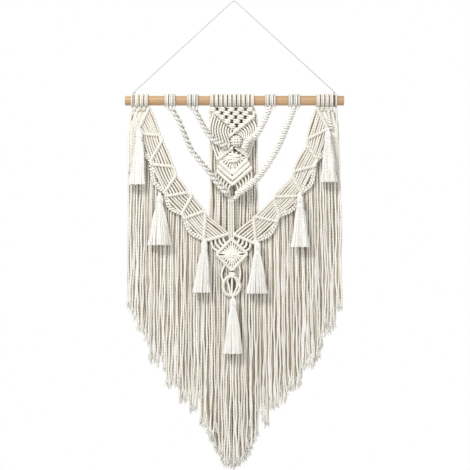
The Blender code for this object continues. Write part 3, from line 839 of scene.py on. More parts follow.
@dataclass
class Studio:
    """The camera at the photograph's angle, soft lights, a white surround and a pale floor."""

    frame_width: float = 0.9668
    lens: float = 90.0
    sensor: float = 36.0
    centre: tuple[float, float, float] = (0.0021, 0.0, -0.4803)
    floor_z: float = -1.65
    floor_size: float = 6.0
    ambient: float = 0.6

    def camera(self) -> None:
        """The camera, square to the hanging."""
        data = bpy.data.cameras.new("camera")
        data.lens, data.sensor_width = self.lens, self.sensor
        made = bpy.data.objects.new("camera", data)
        made.location = (self.centre[0], -self.frame_width * self.lens / self.sensor, self.centre[2])
        made.rotation_euler = (math.pi / 2, 0.0, 0.0)
        bpy.context.scene.collection.objects.link(made)
        bpy.context.scene.camera = made

    def light(self, name: str, place: tuple[float, float, float], size: float, power: float) -> None:
        """A square area light that faces the hanging's middle.

        Args:
            name: Its name.
            place: Where it stands.
            size: The length of its side.
            power: Its power in watts.
        """
        data = bpy.data.lights.new(name, "AREA")
        data.size, data.energy = size, power
        made = bpy.data.objects.new(name, data)
        made.location = place
        direction = Vector(place) - Vector(self.centre)
        made.rotation_euler = direction.to_track_quat("Z", "Y").to_euler()
        bpy.context.scene.collection.objects.link(made)

    def surround(self) -> None:
        """The white world, which lights the hanging less than it shows."""
        world = bpy.data.worlds.new("studio")
        graph = Graph(world)
        seen = graph.value("ShaderNodeLightPath", "Is Camera Ray")
        graph.feed(graph.shader.inputs["Color"], (1.0, 1.0, 1.0, 1.0))
        graph.feed(graph.shader.inputs["Strength"], seen * (1.0 - self.ambient) + self.ambient)
        bpy.context.scene.world = world
        bpy.context.scene.view_settings.view_transform = "Standard"

    def floor(self) -> None:
        """The pale floor, far below."""
        bpy.ops.object.select_all(action="DESELECT")
        bpy.ops.mesh.primitive_plane_add(size=self.floor_size, location=(0.0, 0.0, self.floor_z))
        made = bpy.context.active_object
        made.name = "floor"
        graph = Graph(bpy.data.materials.new("pale floor"))
        graph.feed(graph.shader.inputs["Base Color"], (0.86, 0.86, 0.85, 1.0))
        graph.feed(graph.shader.inputs["Roughness"], 0.9)
        made.data.materials.append(graph.owner)

    def build(self) -> None:
        """Makes the whole studio."""
        self.camera()
        self.surround()
        self.light("key", (-1.1, -1.7, 1.3), 0.7, 52.0)
        self.light("fill", (1.5, -2.0, 0.2), 1.6, 8.0)
        self.light("back", (-0.9, 2.0, 0.5), 1.6, 32.0)
        self.floor()


@dataclass
class HangingString:
    """The thin string: straight up from each knot, over a small round bend at the nail's place."""

    radius: float = 0.001
    left_x: float = -0.205
    right_x: float = 0.206
    foot_z: float = STRING_KNOT_Z
    start: float = 0.0025
    bend: float = 0.006
    run_points: int = 18
    bend_points: int = 9
    length: float = 0.55

    def route(self) -> np.ndarray:
        """The string's centreline, from the left knot to the right one.

        Returns:
            The centreline's points.
        """
        apex = np.array((0.0, 0.0, self.radius))
        rises, lasts = [], []
        for foot_x in (self.left_x, self.right_x):
            foot = np.array((foot_x, 0.0, self.foot_z))
            towards = unit(-foot)
            first, last = foot + towards * self.start, apex - towards * self.bend
            share = np.arange(self.run_points)[:, None] / self.run_points
            rises.append(first + (last - first) * share)
            lasts.append(last)
        share = np.linspace(0.0, 1.0, self.bend_points)[:, None]
        low, high = lasts[0] + (apex - lasts[0]) * share, apex + (lasts[1] - apex) * share
        arc = low + (high - low) * share
        arc_top = arc[self.bend_points // 2, 2]
        return np.concatenate((rises[0], arc, rises[1][::-1])) + UP * (self.radius - arc_top)

    def build(self) -> bpy.types.Object:
        """Lays the string.

        Returns:
            The finished piece.
        """
        path = self.route()
        skein = Skein()
        skein.lay(Route.hanging(smooth(path, 0.0015)), self.radius * 1.2)
        made = skein.piece("Hanging_String", STRING_YARN)
        return made


@dataclass
class StringKnot:
    """The string's turn round the rod and the small overhand knot where it leaves."""

    side: Side
    x: float
    radius: float = 0.001
    ball: float = 0.0014

    def build(self) -> bpy.types.Object:
        """Lays the turn, the neck and the knot.

        Returns:
            The finished piece.
        """
        skein = Skein()
        reach = ROD_RADIUS + self.radius * 1.15
        centre, knot = np.array(((self.x, 0.0, ROD_Z), (self.x, 0.0, STRING_KNOT_Z)))
        skein.lay(Route.ring(centre, UP * reach, BEHIND * reach, 40), self.radius)
        neck = np.array(((self.x, 0.0, ROD_Z + reach), knot))
        skein.lay(Route.hanging(smooth(neck, 0.001)), self.radius * 0.9)
        angle = np.linspace(0.0, 2 * math.pi, 48, endpoint=False)
        overhand = np.stack(
            (
                self.x + self.ball * (np.sin(angle) + 2 * np.sin(2 * angle)) * 0.45,
                self.ball * np.sin(3 * angle) * 0.8,
                STRING_KNOT_Z + self.ball * (np.cos(angle) - 2 * np.cos(2 * angle)) * 0.45,
            ),
            axis=1,
        )
        facing = unit(overhand - knot + FRONT * 0.0005)
        skein.lay(Route(overhand, facing, closed=True), self.radius * 0.85)
        return skein.piece(f"String_Knot_{self.side.name.title()}", STRING_YARN)


@dataclass
class Rod:
    """The dowel, turned a little unevenly, with softened ends."""

    length: float = 0.450
    radius: float = ROD_RADIUS
    bevel: float = 0.0012
    sides: int = 48
    rings: int = 24
    wobble: float = 0.00012
    dish: float = 0.0004

    def _select(self, mesh: bpy.types.Mesh, test: Any) -> None:
        """Selects only the edges and faces whose points all pass a test on their places.

        Args:
            mesh: The mesh in edit mode.
            test: The test of one place.
        """
        bpy.ops.mesh.select_all(action="DESELECT")
        edited = bmesh.from_edit_mesh(mesh)
        for part in (*edited.edges, *edited.faces):
            if all(test(vert.co) for vert in part.verts):
                part.select_set(True)
        bmesh.update_edit_mesh(mesh)

    def build(self) -> bpy.types.Object:
        """Models the rod from a cylinder: cut into rings, with bevelled rims and dished ends.

        Returns:
            The finished piece.
        """
        half, rim = self.length / 2, self.radius - self.bevel / 2
        bpy.ops.object.select_all(action="DESELECT")
        bpy.ops.mesh.primitive_cylinder_add(vertices=self.sides, radius=self.radius, depth=self.length)
        made = bpy.context.active_object
        made.name = "Rod"
        bpy.ops.object.mode_set(mode="EDIT")
        for end in (-1, 1):
            self._select(made.data, lambda co, end=end: co.z * end > half * 0.999)
            bpy.ops.mesh.bevel(offset=self.bevel, segments=3)
            self._select(made.data, lambda co, end=end: co.z * end > half * 0.9999 and co.xy.length < rim)
            bpy.ops.mesh.inset(thickness=self.radius * 0.45)
            bpy.ops.transform.translate(value=(0.0, 0.0, -end * self.dish))
        for ring in range(1, self.rings):
            bpy.ops.mesh.select_all(action="SELECT")
            height = self.length * (ring / self.rings - 0.5)
            bpy.ops.mesh.bisect(plane_co=(0.0, 0.0, height), plane_no=(0.0, 0.0, 1.0))
        bpy.ops.object.mode_set(mode="OBJECT")
        made.rotation_euler = (0.0, math.pi / 2, 0.0)
        made.location = (ROD_X, 0.0, ROD_Z)
        bpy.ops.object.transform_apply(location=True, rotation=True, scale=True)
        places = np.empty(len(made.data.vertices) * 3)
        made.data.vertices.foreach_get("co", places)
        places = places.reshape(-1, 3)
        wave = np.sin(places[:, 0] * 61.0) * 0.6 + np.sin(places[:, 0] * 23.0 + 1.0)
        places[:, 1] += wave * self.wobble
        places[:, 2] += np.cos(places[:, 0] * 37.0) * self.wobble
        made.data.vertices.foreach_set("co", places.reshape(-1))
        made.data.update()
        bpy.ops.object.shade_smooth_by_angle(angle=math.radians(35))
        return dress(made, DOWEL_WOOD, "rod")


@dataclass
class Heading:
    """Cords mounted on the rod, with a row of knots under them."""

    from_x: float
    to_x: float
    cord_radius: float = 0.00225
    row_z: float = ROD_Z - 0.0165
    slot_x: float | None = None
    slot_width: float = 0.0032
    pair_draw: float = 0.00045
    knotted: bool = True

    def wraps(self) -> list[float]:
        """The X of each turn round the rod, clear of the string's turn.

        Returns:
            The X of each turn, from left to right.
        """
        if self.slot_x is None:
            runs = [(self.from_x, self.to_x)]
        else:
            gap = self.slot_width / 2
            runs = [(self.from_x, self.slot_x - gap), (self.slot_x + gap, self.to_x)]
        found = []
        for start, end in runs:
            count = max(1, round((end - start) / (self.cord_radius * 2.04)))
            pitch = (end - start) / count
            for index in range(count):
                drawn = self.pair_draw if index % 2 == 0 else -self.pair_draw
                paired = index < count - 1 or count % 2 == 0
                found.append(start + pitch * (index + 0.5) + (drawn if paired else 0.0))
        return found

    def lay(self, skein: Skein, rng: np.random.Generator) -> None:
        """Lays the turns, every other one painted darker as shade, near black rings painted as the shade in
        the gaps between pairs, and any knots under the pairs.

        Args:
            skein: Where the cords are laid.
            rng: Where the small irregularities come from.
        """
        reach = ROD_RADIUS + self.cord_radius * 0.84
        wraps = self.wraps()
        for index, x in enumerate(wraps):
            tilt = rng.uniform(-0.02, 0.02)
            centre = np.array((x, 0.0, ROD_Z))
            up = UP * reach * rng.uniform(0.99, 1.01) + np.array((tilt * reach, 0.0, 0.0))
            # Painted shade: every other turn is darker.
            tone = rng.uniform(0.90, 1.0) if index % 2 else rng.uniform(0.66, 0.78)
            skein.lay(Route.ring(centre, up, BEHIND * reach, 46), self.cord_radius, tone=tone, side_shade=0.6)
        # Painted shadow: a near black ring in each gap between pairs stands for the shade there.
        for before, after in zip(wraps[1::2], wraps[2::2]):
            centre = np.array(((before + after) / 2, 0.0, ROD_Z))
            inner = reach - self.cord_radius * 0.3
            gap = Route.ring(centre, UP * inner, BEHIND * inner, 30)
            skein.lay(gap, self.cord_radius * 0.7, Section.PLAIN, -1.1)
        for index in range(0, len(wraps) - 1, 2) if self.knotted else ():
            x = (wraps[index] + wraps[index + 1]) / 2
            knot_z = self.row_z - rng.uniform(0.0, 0.001)
            knot = Knot(x, knot_z, self.cord_radius * 1.75, self.cord_radius * 1.6)
            skein.square_knot(knot, BAR_Y, self.cord_radius * 1.9, self.cord_radius * 0.8)
            for side in (-1, 1):
                cord_x = x + side * self.cord_radius
                drop = np.array(
                    (
                        (cord_x, -reach * 0.80, ROD_Z - reach * 0.6),
                        (cord_x, -reach * 0.42, ROD_Z - reach * 0.98),
                        (cord_x, BAR_Y, self.row_z - 0.006),
                    )
                )
                # The cords down to the knots are painted darker, as the shade under the rod.
                skein.lay(Route.hanging(smooth(drop, 0.003)), self.cord_radius * 0.8, tone=0.6)


@dataclass
class SwagBand:
    """A band of knotted bars in a zigzag, with parallel cords between them and knotted scallops outside."""

    side: Side
    bars: tuple[Bar, ...]
    heading: Heading
    seed: int
    chain_x: float | None = None
    drop_reach: float = 0.0215
    bar_radius: float = 0.0036
    cord_pitch: float = 0.0066
    cord_radius: float = 0.0024
    scallop_bulge: float = 0.009
    drop_places: tuple[tuple[float, float], ...] = (
        (0.010, 0.45), (0.022, 0.82), (0.040, 0.97), (0.070, 1.0), (0.120, 1.02),
    )

    def _fan(
        self, skein: Skein, first: tuple[Place, Place], second: tuple[Place, Place], rng: np.random.Generator
    ) -> None:
        """The parallel cords between two bars, each with a painted shadow cord behind the gap beside it; each
        bar is given from the end where they nearly meet.

        Args:
            skein: Where the cords are laid.
            first: The upper bar's ends.
            second: The lower bar's ends.
            rng: Where the small irregularities come from.
        """
        longest = max(math.dist(*first), math.dist(*second))
        count = round(longest / self.cord_pitch)
        meeting = np.array(between(first[0], second[0], 0.5))
        for index in range(count):
            share = (index + 0.9) / count
            start, end = between(*first, share), between(*second, share)
            middle = np.array(between(start, end, 0.5))
            middle = middle + unit(middle - meeting) * math.dist(start, end) * rng.uniform(-0.01, 0.035)
            line = level_line((start, tuple(middle), end), BAR_Y)
            share = (index + 0.4) / count
            shadow = flat((between(*first, share), between(*second, share)), BAR_Y)
            skein.layer(line, shadow, self.cord_radius, rng.uniform(0.84, 0.98), 0.1)

    def _scallop(self, skein: Skein, upper: Bar, lower: Bar) -> None:
        """Two rows of small knots in an arc outside the band.

        Args:
            skein: Where the cords are laid.
            upper: The bar above it.
            lower: The bar below it.
        """
        start, end = upper.outer, lower.outer
        middle = between(start, end, 0.55)
        bulge = (middle[0] + self.side.value * self.scallop_bulge, middle[1] - self.scallop_bulge * 0.5)
        arc = level_line((start, bulge, end), BAR_Y)
        across = unit(np.cross(tangents(arc), BEHIND))
        for shift in (-0.0022, 0.0024):
            skein.bar(arc + across * shift, 0.0029, pitch=0.0062, tone=1.2, slim=0.66)

    def build(self) -> bpy.types.Object:
        """Lays the heading, the bars, the cords between them, the scallops and the loose cords.

        Returns:
            The finished piece.
        """
        skein, rng = Skein(), np.random.default_rng(self.seed)
        self.heading.lay(skein, rng)
        for bar in self.bars:
            skein.straight_bar(*bar, self.bar_radius)
        for index, (upper, lower) in enumerate(zip(self.bars, self.bars[1:])):
            from_outer = index % 2 == 0
            first, second = (upper[::-1], lower[::-1]) if from_outer else (upper, lower)
            self._fan(skein, first, second, rng)
            skein.straight_bar(first[0], second[0], self.bar_radius * 1.05)
            if not from_outer:
                self._scallop(skein, upper, lower)
        self._drops(skein, rng)
        return skein.piece(f"Swag_Band_{self.side.name.title()}", CORD_COTTON)

    def _drops(self, skein: Skein, rng: np.random.Generator) -> None:
        """The loose cords from the heading down beside the first bar, and any chain with its end knot.

        Args:
            skein: Where the cords are laid.
            rng: Where the small irregularities come from.
        """
        top_z = self.heading.row_z - 0.002
        wraps = sorted(self.heading.wraps(), key=abs)
        for index, x in enumerate(wraps):
            share = index / (len(wraps) - 1)
            aside = abs(self.bars[0].outer[0]) - 0.001 + self.drop_reach * share
            places = [(x, top_z + 0.004)]
            for down, spread in self.drop_places:
                along = abs(x) + (aside - abs(x)) * spread
                sway = rng.uniform(-0.0006, 0.0006)
                places.append((self.side.value * along + sway, top_z - down - 0.01 * share))
            line = smooth(flat(places, BAR_Y + 0.0016) + BEHIND * np.linspace(0.0, 0.004, 6)[:, None], 0.0022)
            skein.lay(Route.hanging(line), self.cord_radius, tone=rng.uniform(0.9, 1.06), side_shade=0.6)
        if self.chain_x is not None:
            chain = ((self.chain_x - 0.004, top_z), (self.chain_x, top_z - 0.034))
            skein.bar(level_line(chain, PROUD_Y), 0.0034, pitch=0.0062, slim=0.62)
            end_knot = Knot(self.chain_x + 0.001, top_z - 0.036, 0.0058, 0.0048)
            skein.square_knot(end_knot, PROUD_Y, 0.0045, 0.0020, 1.1)


@dataclass
class Berry:
    """A round knot: a wound ring, with cords woven over and under each other on the dome inside it."""

    middle: Place
    radius: float
    y: float
    ways: int = 3

    def lay(self, skein: Skein) -> None:
        """Lays the ring with a dark ring behind it as its painted shadow, the crossing cords inside it,
        painted darker where they dip under, and a near black core as the painted shade between them.

        Args:
            skein: Where the cords are laid.
        """
        rim, inner = self.radius * 0.27, self.radius * 0.60
        around = oval(Knot(*self.middle, self.radius, self.radius), self.y + 0.0040)
        skein.lay(Route.hanging(around), rim * 0.6, Section.PLAIN, -0.5)
        ring = oval(Knot(*self.middle, self.radius - rim, self.radius - rim), self.y)
        skein.bar(ring, rim, pitch=rim * 1.4)
        cord = inner * 0.88 / self.ways
        turn = np.linspace(-1.0, 1.0, 17)
        for upright in (False, True):
            for index in range(self.ways):
                shift = (2 * index / (self.ways - 1) - 1) * (inner - cord)
                run = turn * math.sqrt(inner**2 - shift**2)
                over = np.cos(run * math.pi / (cord * 2.2) + math.pi * (index + upright))
                dome = np.sqrt(np.maximum(inner**2 * 1.2 - run**2 - shift**2, 0.0)) * 0.8
                lift = self.y - dome - over * cord * 0.5
                places = (shift, run) if upright else (run, shift)
                across, along = (np.full_like(run, place) + at for place, at in zip(places, self.middle))
                route = Route.hanging(np.stack((across, lift, along), axis=1))
                # Painted shade: each crossing cord darkens where it dips under another.
                route = replace(route, crest=(0.5 + 0.5 * over) ** 0.7)
                skein.lay(route, cord, tone=1.1, side_shade=0.5, sunk_shade=0.7)
        core = flat((self.middle, (self.middle[0], self.middle[1] - inner)), self.y)
        # Painted shade: a near black core fills the gaps between the crossing cords.
        skein.lay(Route.hanging(core + UP * inner / 2), inner * 0.6, tone=-0.4)


@dataclass
class Sinnet:
    """A rope of half knots, which turns as it runs down from its heading."""

    name: str
    heading: Heading
    places: tuple[tuple[float, float, float], ...]
    seed: int
    radius: float = 0.0070
    lobe_radius: float = 0.0042
    cord_radius: float = 0.0020
    pitch: float = 0.0037
    turn: float = 0.0230
    # Painted shade: notch sets how dark the hollows between the lobes are painted, from crest_from to
    # crest_to of the radius, and edge_shade how dark the rope's right edge is painted, from edge_start over
    # edge_width of the radius, as shade away from the light from the upper left.
    notch_shade: float = 1.1
    edge_shade: float = 0.0
    edge_start: float = 0.68
    edge_width: float = 0.15
    crest_from: float = 0.35
    crest_to: float = 0.78

    def build(self) -> bpy.types.Object:
        """Lays the heading, the core and the winding, whose two lobes twist round each other, all with
        painted shade.

        Returns:
            The finished piece.
        """
        skein, rng = Skein(), np.random.default_rng(self.seed)
        self.heading.lay(skein, rng)
        core = smooth(np.array(self.places))
        for index, x in enumerate(self.heading.wraps()):
            start = np.array((x, -ROD_RADIUS * 0.6, ROD_Z - ROD_RADIUS))
            gathered = core[5] + (start - core[5]) * (0.25, 0.3, 0.0)
            line = np.stack((start, start + (gathered - start) * (0.45, 0.3, 0.55), gathered))
            # Every other gathered cord is painted dark, as the shade between them.
            tone = rng.uniform(0.15, 0.5) if index % 2 else rng.uniform(0.9, 1.05)
            skein.lay(Route.hanging(smooth(line)), self.heading.cord_radius, tone=tone)
        offset, wound = self.radius - self.lobe_radius, self.lobe_radius - self.cord_radius
        # The core is painted darker, as the shade inside the rope.
        skein.lay(Route.hanging(core), offset, Section.PLAIN, 0.5)
        lobes = [Route.coil(core, side * offset, self.turn, steps=16).points for side in (1, -1)]
        middle = (lobes[0] + lobes[1]) / 2
        low, high = self.radius * self.crest_from, self.radius * self.crest_to
        for lobe in lobes:
            route = Route.coil(lobe, wound, self.pitch)
            # Painted shade: the winding darkens in the hollows between the lobes, more on the rope's right
            # side, and along its right edge.
            nearest = [int(np.argmin(np.linalg.norm(middle - point, axis=1))) for point in route.points]
            offsets = route.points - middle[nearest]
            crest = np.clip((np.linalg.norm(offsets, axis=1) - low) / (high - low), 0.0, 1.0)
            aside = np.sum(offsets * unit(np.cross(FRONT, tangents(middle)))[nearest], axis=1) / self.radius
            edge = self.edge_shade * np.clip((aside - self.edge_start) / self.edge_width, 0.0, 1.0)
            hollow_shade = (1 - crest) * np.clip(0.6 + aside, 0.25, 1.0) + edge
            route = replace(route, crest=1 - hollow_shade)
            skein.lay(route, self.cord_radius, tone=1.15, side_shade=0.2, sunk_shade=self.notch_shade)
        return skein.piece(f"Sinnet_{self.name.title()}", ROPE_COTTON)


class NetRow(NamedTuple):
    """A row of the net's knots."""

    z: float
    first_x: float
    count: int


class Fan(NamedTuple):
    """Cords spread evenly from one bent line to another, both with the same number of places."""

    first: tuple[Place, ...]
    last: tuple[Place, ...]
    count: int


@dataclass
class CentrePanel:
    """The net under the rod, its V bars, the berry knot, the diamond, the nested bars and the bundle."""

    heading: Heading = field(default_factory=lambda: Heading(-0.050, 0.042, pair_draw=0.00075, knotted=False))
    net_pitch: float = 0.0193
    net_half_width: float = 0.0078
    net_half_height: float = 0.0049
    net_depth: float = 0.0044
    net_cord: float = 0.0018
    net_rows: tuple[NetRow, ...] = (
        NetRow(-0.2222, -0.0442, 5),
        NetRow(-0.2302, -0.0345, 4),
        NetRow(-0.2384, -0.0253, 4),
        NetRow(-0.2470, -0.0138, 3),
        NetRow(-0.2557, -0.0041, 2),
        NetRow(-0.2643, 0.0056, 1),
    )
    bars: tuple[tuple[tuple[Place, ...], float, float], ...] = (
        (((-0.046, -0.2235), (-0.041, -0.2294), (-0.008, -0.259), (0.004, -0.2685)), 0.0022, PROUD_Y),
        (((0.0425, -0.226), (0.040, -0.2376), (-0.0103, -0.2787)), 0.0036, -0.0076),
        (((-0.0343, -0.3255), (-0.0030, -0.3010)), 0.0040, PROUD_Y),
        (((0.0020, -0.3005), (0.0290, -0.3200)), 0.0032, PROUD_Y),
        (((-0.0295, -0.3292), (-0.0031, -0.3545), (0.0270, -0.3255)), 0.0046, PROUD_Y),
        (((-0.0322, -0.3388), (-0.0031, -0.3650), (0.0315, -0.3335)), 0.0046, PROUD_Y),
        (((-0.0350, -0.3487), (-0.0031, -0.3765), (0.0360, -0.3420)), 0.0044, PROUD_Y),
    )
    fans: tuple[Fan, ...] = (
        Fan(
            ((-0.042, -0.229), (-0.0495, -0.262), (-0.043, -0.296), (-0.033, -0.326)),
            ((-0.004, -0.262), (-0.007, -0.269), (-0.003, -0.277), (0.000, -0.284)),
            9,
        ),
        Fan(
            ((0.0365, -0.240), (0.045, -0.262), (0.038, -0.294), (0.028, -0.322)),
            ((0.000, -0.271), (0.011, -0.273), (0.014, -0.279), (0.012, -0.284)),
            8,
        ),
        Fan(
            ((-0.018, -0.294), (-0.024, -0.303), (-0.030, -0.316)),
            ((-0.008, -0.292), (-0.010, -0.298), (-0.013, -0.307)),
            4,
        ),
        Fan(
            ((0.004, -0.297), (0.009, -0.302), (0.014, -0.309)),
            ((0.014, -0.292), (0.021, -0.302), (0.026, -0.316)),
            4,
        ),
        Fan(
            ((-0.029, -0.3235), (-0.021, -0.322), (-0.012, -0.320)),
            ((-0.007, -0.304), (-0.005, -0.309), (-0.003, -0.315)),
            4,
        ),
        Fan(
            ((0.026, -0.321), (0.018, -0.321), (0.009, -0.320)),
            ((-0.004, -0.304), (-0.003, -0.309), (-0.001, -0.315)),
            4,
        ),
        Fan(
            ((-0.012, -0.324), (-0.021, -0.327), (-0.028, -0.333)),
            ((-0.003, -0.329), (-0.004, -0.340), (-0.004, -0.351)),
            5,
        ),
        Fan(
            ((0.009, -0.324), (0.018, -0.325), (0.026, -0.331)),
            ((0.000, -0.329), (0.000, -0.340), (-0.002, -0.351)),
            5,
        ),
        Fan(
            ((-0.0345, -0.350), (-0.037, -0.362), (-0.026, -0.384), (-0.0095, -0.404)),
            ((-0.006, -0.374), (-0.0115, -0.386), (-0.0100, -0.394), (-0.007, -0.402)),
            6,
        ),
        Fan(
            ((0.0345, -0.349), (0.036, -0.362), (0.024, -0.386), (0.001, -0.407)),
            ((0.003, -0.374), (0.0085, -0.386), (0.0065, -0.396), (-0.002, -0.405)),
            6,
        ),
    )
    berry: Berry = field(default_factory=lambda: Berry((0.0050, -0.2880), 0.0128, -0.0085))
    fan_radius: float = 0.0022
    diamond_knot: Knot = Knot(-0.0015, -0.3220, 0.0140, 0.0092)
    join_knot: Knot = Knot(-0.0062, -0.4075, 0.0080, 0.0072)
    bundle_foot: Place = (-0.0055, -0.4870)
    seed: int = 31

    def _net(self, skein: Skein, rng: np.random.Generator) -> None:
        """The rows of flat square knots, with the cords that cross between them.

        Args:
            skein: Where the cords are laid.
            rng: Where the small irregularities come from.
        """
        for row in self.net_rows:
            for index in range(row.count):
                x = row.first_x + self.net_pitch * index
                z = row.z + rng.uniform(-0.0003, 0.0003)
                knot = Knot(x, z, self.net_half_width, self.net_half_height)
                skein.square_knot(knot, BAR_Y, self.net_depth, self.net_cord, rng.uniform(1.04, 1.12))
                for side in (-1, 1):
                    places = ((x + side * 0.0042, row.z - 0.002), (x + side * 0.0072, row.z - 0.0075))
                    # The crossing cords are painted darker, as the shade between the knots.
                    skein.lay(Route.through(places, BAR_Y + 0.0008), 0.0019, tone=0.8)

    def build(self) -> bpy.types.Object:
        """Lays the whole panel.

        Returns:
            The finished piece.
        """
        skein, rng = Skein(), np.random.default_rng(self.seed)
        self.heading.lay(skein, rng)
        self._net(skein, rng)
        # Painted shadow: a near black line under the left V bar.
        painted_shadow_line = ((-0.0405, -0.2320), (-0.0085, -0.2612))
        skein.lay(Route.through(painted_shadow_line, PROUD_Y - 0.0012), 0.0009, Section.PLAIN, -0.15)
        for places, radius, y in self.bars:
            skein.bar(level_line(places, y) if len(places) != 3 else self._bent(places, y), radius)
        for fan in self.fans:
            for index in range(fan.count):
                lines = []
                for share in (index / (fan.count - 1), (index + 0.5) / (fan.count - 1)):
                    places = [between(first, last, share) for first, last in zip(fan.first, fan.last)]
                    lines.append(level_line(places, BAR_Y))
                # Each fan cord has a painted shadow cord behind the gap beside it.
                skein.layer(*lines, self.fan_radius * rng.uniform(0.94, 1.04), rng.uniform(1.0, 1.1), 0.4)
        self.berry.lay(skein)
        skein.square_knot(self.diamond_knot, PROUD_Y, 0.0060, 0.0025, 1.12)
        skein.square_knot(self.join_knot, BAR_Y - 0.0003, 0.0042, 0.0019)
        top = (self.join_knot.x, self.join_knot.z)
        skein.bundle(top, self.bundle_foot, 0.0046, BAR_Y, 0.0019, 5)
        return skein.piece("Centre_Panel", CORD_COTTON)

    @staticmethod
    def _bent(places: tuple[Place, ...], y: float) -> np.ndarray:
        """A bar's core through three places, with a tight bend at the middle one."""
        start, bend, end = places
        return level_line((start, between(bend, start, 0.1), between(bend, end, 0.1), end), y)


@dataclass
class Medallion:
    """A diamond of bars round a knot, and a small ring with cords in it below."""

    diamond: tuple[Place, ...] = ((-0.005, -0.488), (-0.036, -0.520), (-0.004, -0.553), (0.027, -0.519))
    ring: Knot = Knot(-0.0052, -0.5850, 0.0175, 0.0200)
    knot: Knot = Knot(-0.0035, -0.5210, 0.0115, 0.0050)
    spokes: int = 6
    cord_radius: float = 0.0021
    ring_cords: tuple[tuple[Place, ...], ...] = (
        ((-0.007, -0.564), (-0.0135, -0.5736), (-0.0105, -0.5857), (-0.0075, -0.6030)),
        ((-0.0045, -0.564), (-0.0040, -0.5736), (-0.0043, -0.5857), (-0.0048, -0.6040)),
        ((-0.002, -0.564), (0.0050, -0.5736), (0.0064, -0.5857), (-0.0010, -0.6030)),
        ((-0.018, -0.540), (-0.0235, -0.552), (-0.0255, -0.562), (-0.0225, -0.577)),
        ((0.010, -0.540), (0.0125, -0.552), (0.0130, -0.562), (0.0110, -0.577)),
    )
    seed: int = 41

    def _spokes(self, skein: Skein, rng: np.random.Generator) -> None:
        """The cords that run out from the knot to the diamond's four bars, each with a near black painted
        shadow cord behind the gap beside it.

        Args:
            skein: Where the cords are laid.
            rng: Where the small irregularities come from.
        """
        corners = (*self.diamond, self.diamond[0])
        for start, end in zip(corners, corners[1:]):
            for index in range(self.spokes):
                outer = between(start, end, (index + 0.6) / self.spokes)
                above = 1 if outer[1] > self.knot.z else -1
                gathered = (self.knot.x + (outer[0] - self.knot.x) * 0.34, self.knot.z + above * 0.001)
                middle = between(gathered, outer, 0.5)
                places = (gathered, (middle[0], middle[1] + above * 0.0012), outer)
                line = level_line(places, BAR_Y, 0.0018)
                share = np.linspace(0.0, 1.0, len(line))
                line[:, 1] -= 0.0024 * (1 - share**2)
                beside = between(start, end, (index + 0.1) / self.spokes)
                shadow = flat((self.knot[:2], beside), BAR_Y + 0.0012)
                radii = self.cord_radius * (1.1 - 0.25 * share)
                skein.layer(line, shadow, radii, rng.uniform(1.06, 1.16), -0.9)

    def _loops(self, skein: Skein) -> None:
        """The looped cords from the bands' last bars to the upper bars, each with a dark painted shadow cord
        beside it, and those that hang below.

        Args:
            skein: Where the cords are laid.
        """
        top, left, foot, right = self.diamond
        for corner, bar in ((left, LEFT_BARS[-1]), (right, RIGHT_BARS[-1])):
            outward = math.copysign(1.0, corner[0] - top[0])
            for index in range(4):
                share = 0.26 + 0.18 * index
                start = between(*bar, share)
                end = between(top, corner, 0.34 + 0.17 * index)
                middle = between(start, end, 0.5)
                bulge = (middle[0] + outward * (0.002 + 0.0006 * index), middle[1] - 0.001 * index)
                line = level_line((start, bulge, end), BAR_Y, 0.0018)
                skein.layer(line, line + BEHIND * 0.0016 + (outward * 0.0030, 0.0, 0.0), 0.0026, 1.08, -0.3)
            for index in range(5):
                start = between(corner, foot, 0.12 + 0.17 * index)
                end = (start[0] - outward * 0.001, start[1] - 0.034 + 0.003 * index)
                hung = np.array(((start[0], BAR_Y, start[1]), (end[0], 0.0050, end[1])))
                skein.lay(Route.hanging(smooth(hung)), 0.0020, tone=0.95)

    def build(self) -> bpy.types.Object:
        """Lays the medallion.

        Returns:
            The finished piece.
        """
        skein, rng = Skein(), np.random.default_rng(self.seed)
        closed = (*self.diamond, self.diamond[0])
        for start, end in zip(closed, closed[1:]):
            skein.straight_bar(start, end, 0.0038)
        skein.bar(oval(self.ring, PROUD_Y), 0.0036)
        self._spokes(skein, rng)
        self._loops(skein)
        skein.square_knot(self.knot, BAR_Y - 0.0020, 0.0050, 0.0019, 1.12)
        # Each cord in the ring has a dark painted shadow cord beside it.
        for places in self.ring_cords:
            line = Route.through(places, BAR_Y - 0.0008).points
            skein.layer(line, line + (0.0035, 0.0, 0.0), 0.0024, 1.08, -0.5)
        foot = self.diamond[2]
        foot_knot = Knot(foot[0], foot[1] - 0.009, 0.0085, 0.0056)
        skein.square_knot(foot_knot, PROUD_Y - 0.001, 0.0052, 0.0022, 1.1)
        return skein.piece("Medallion", CORD_COTTON)


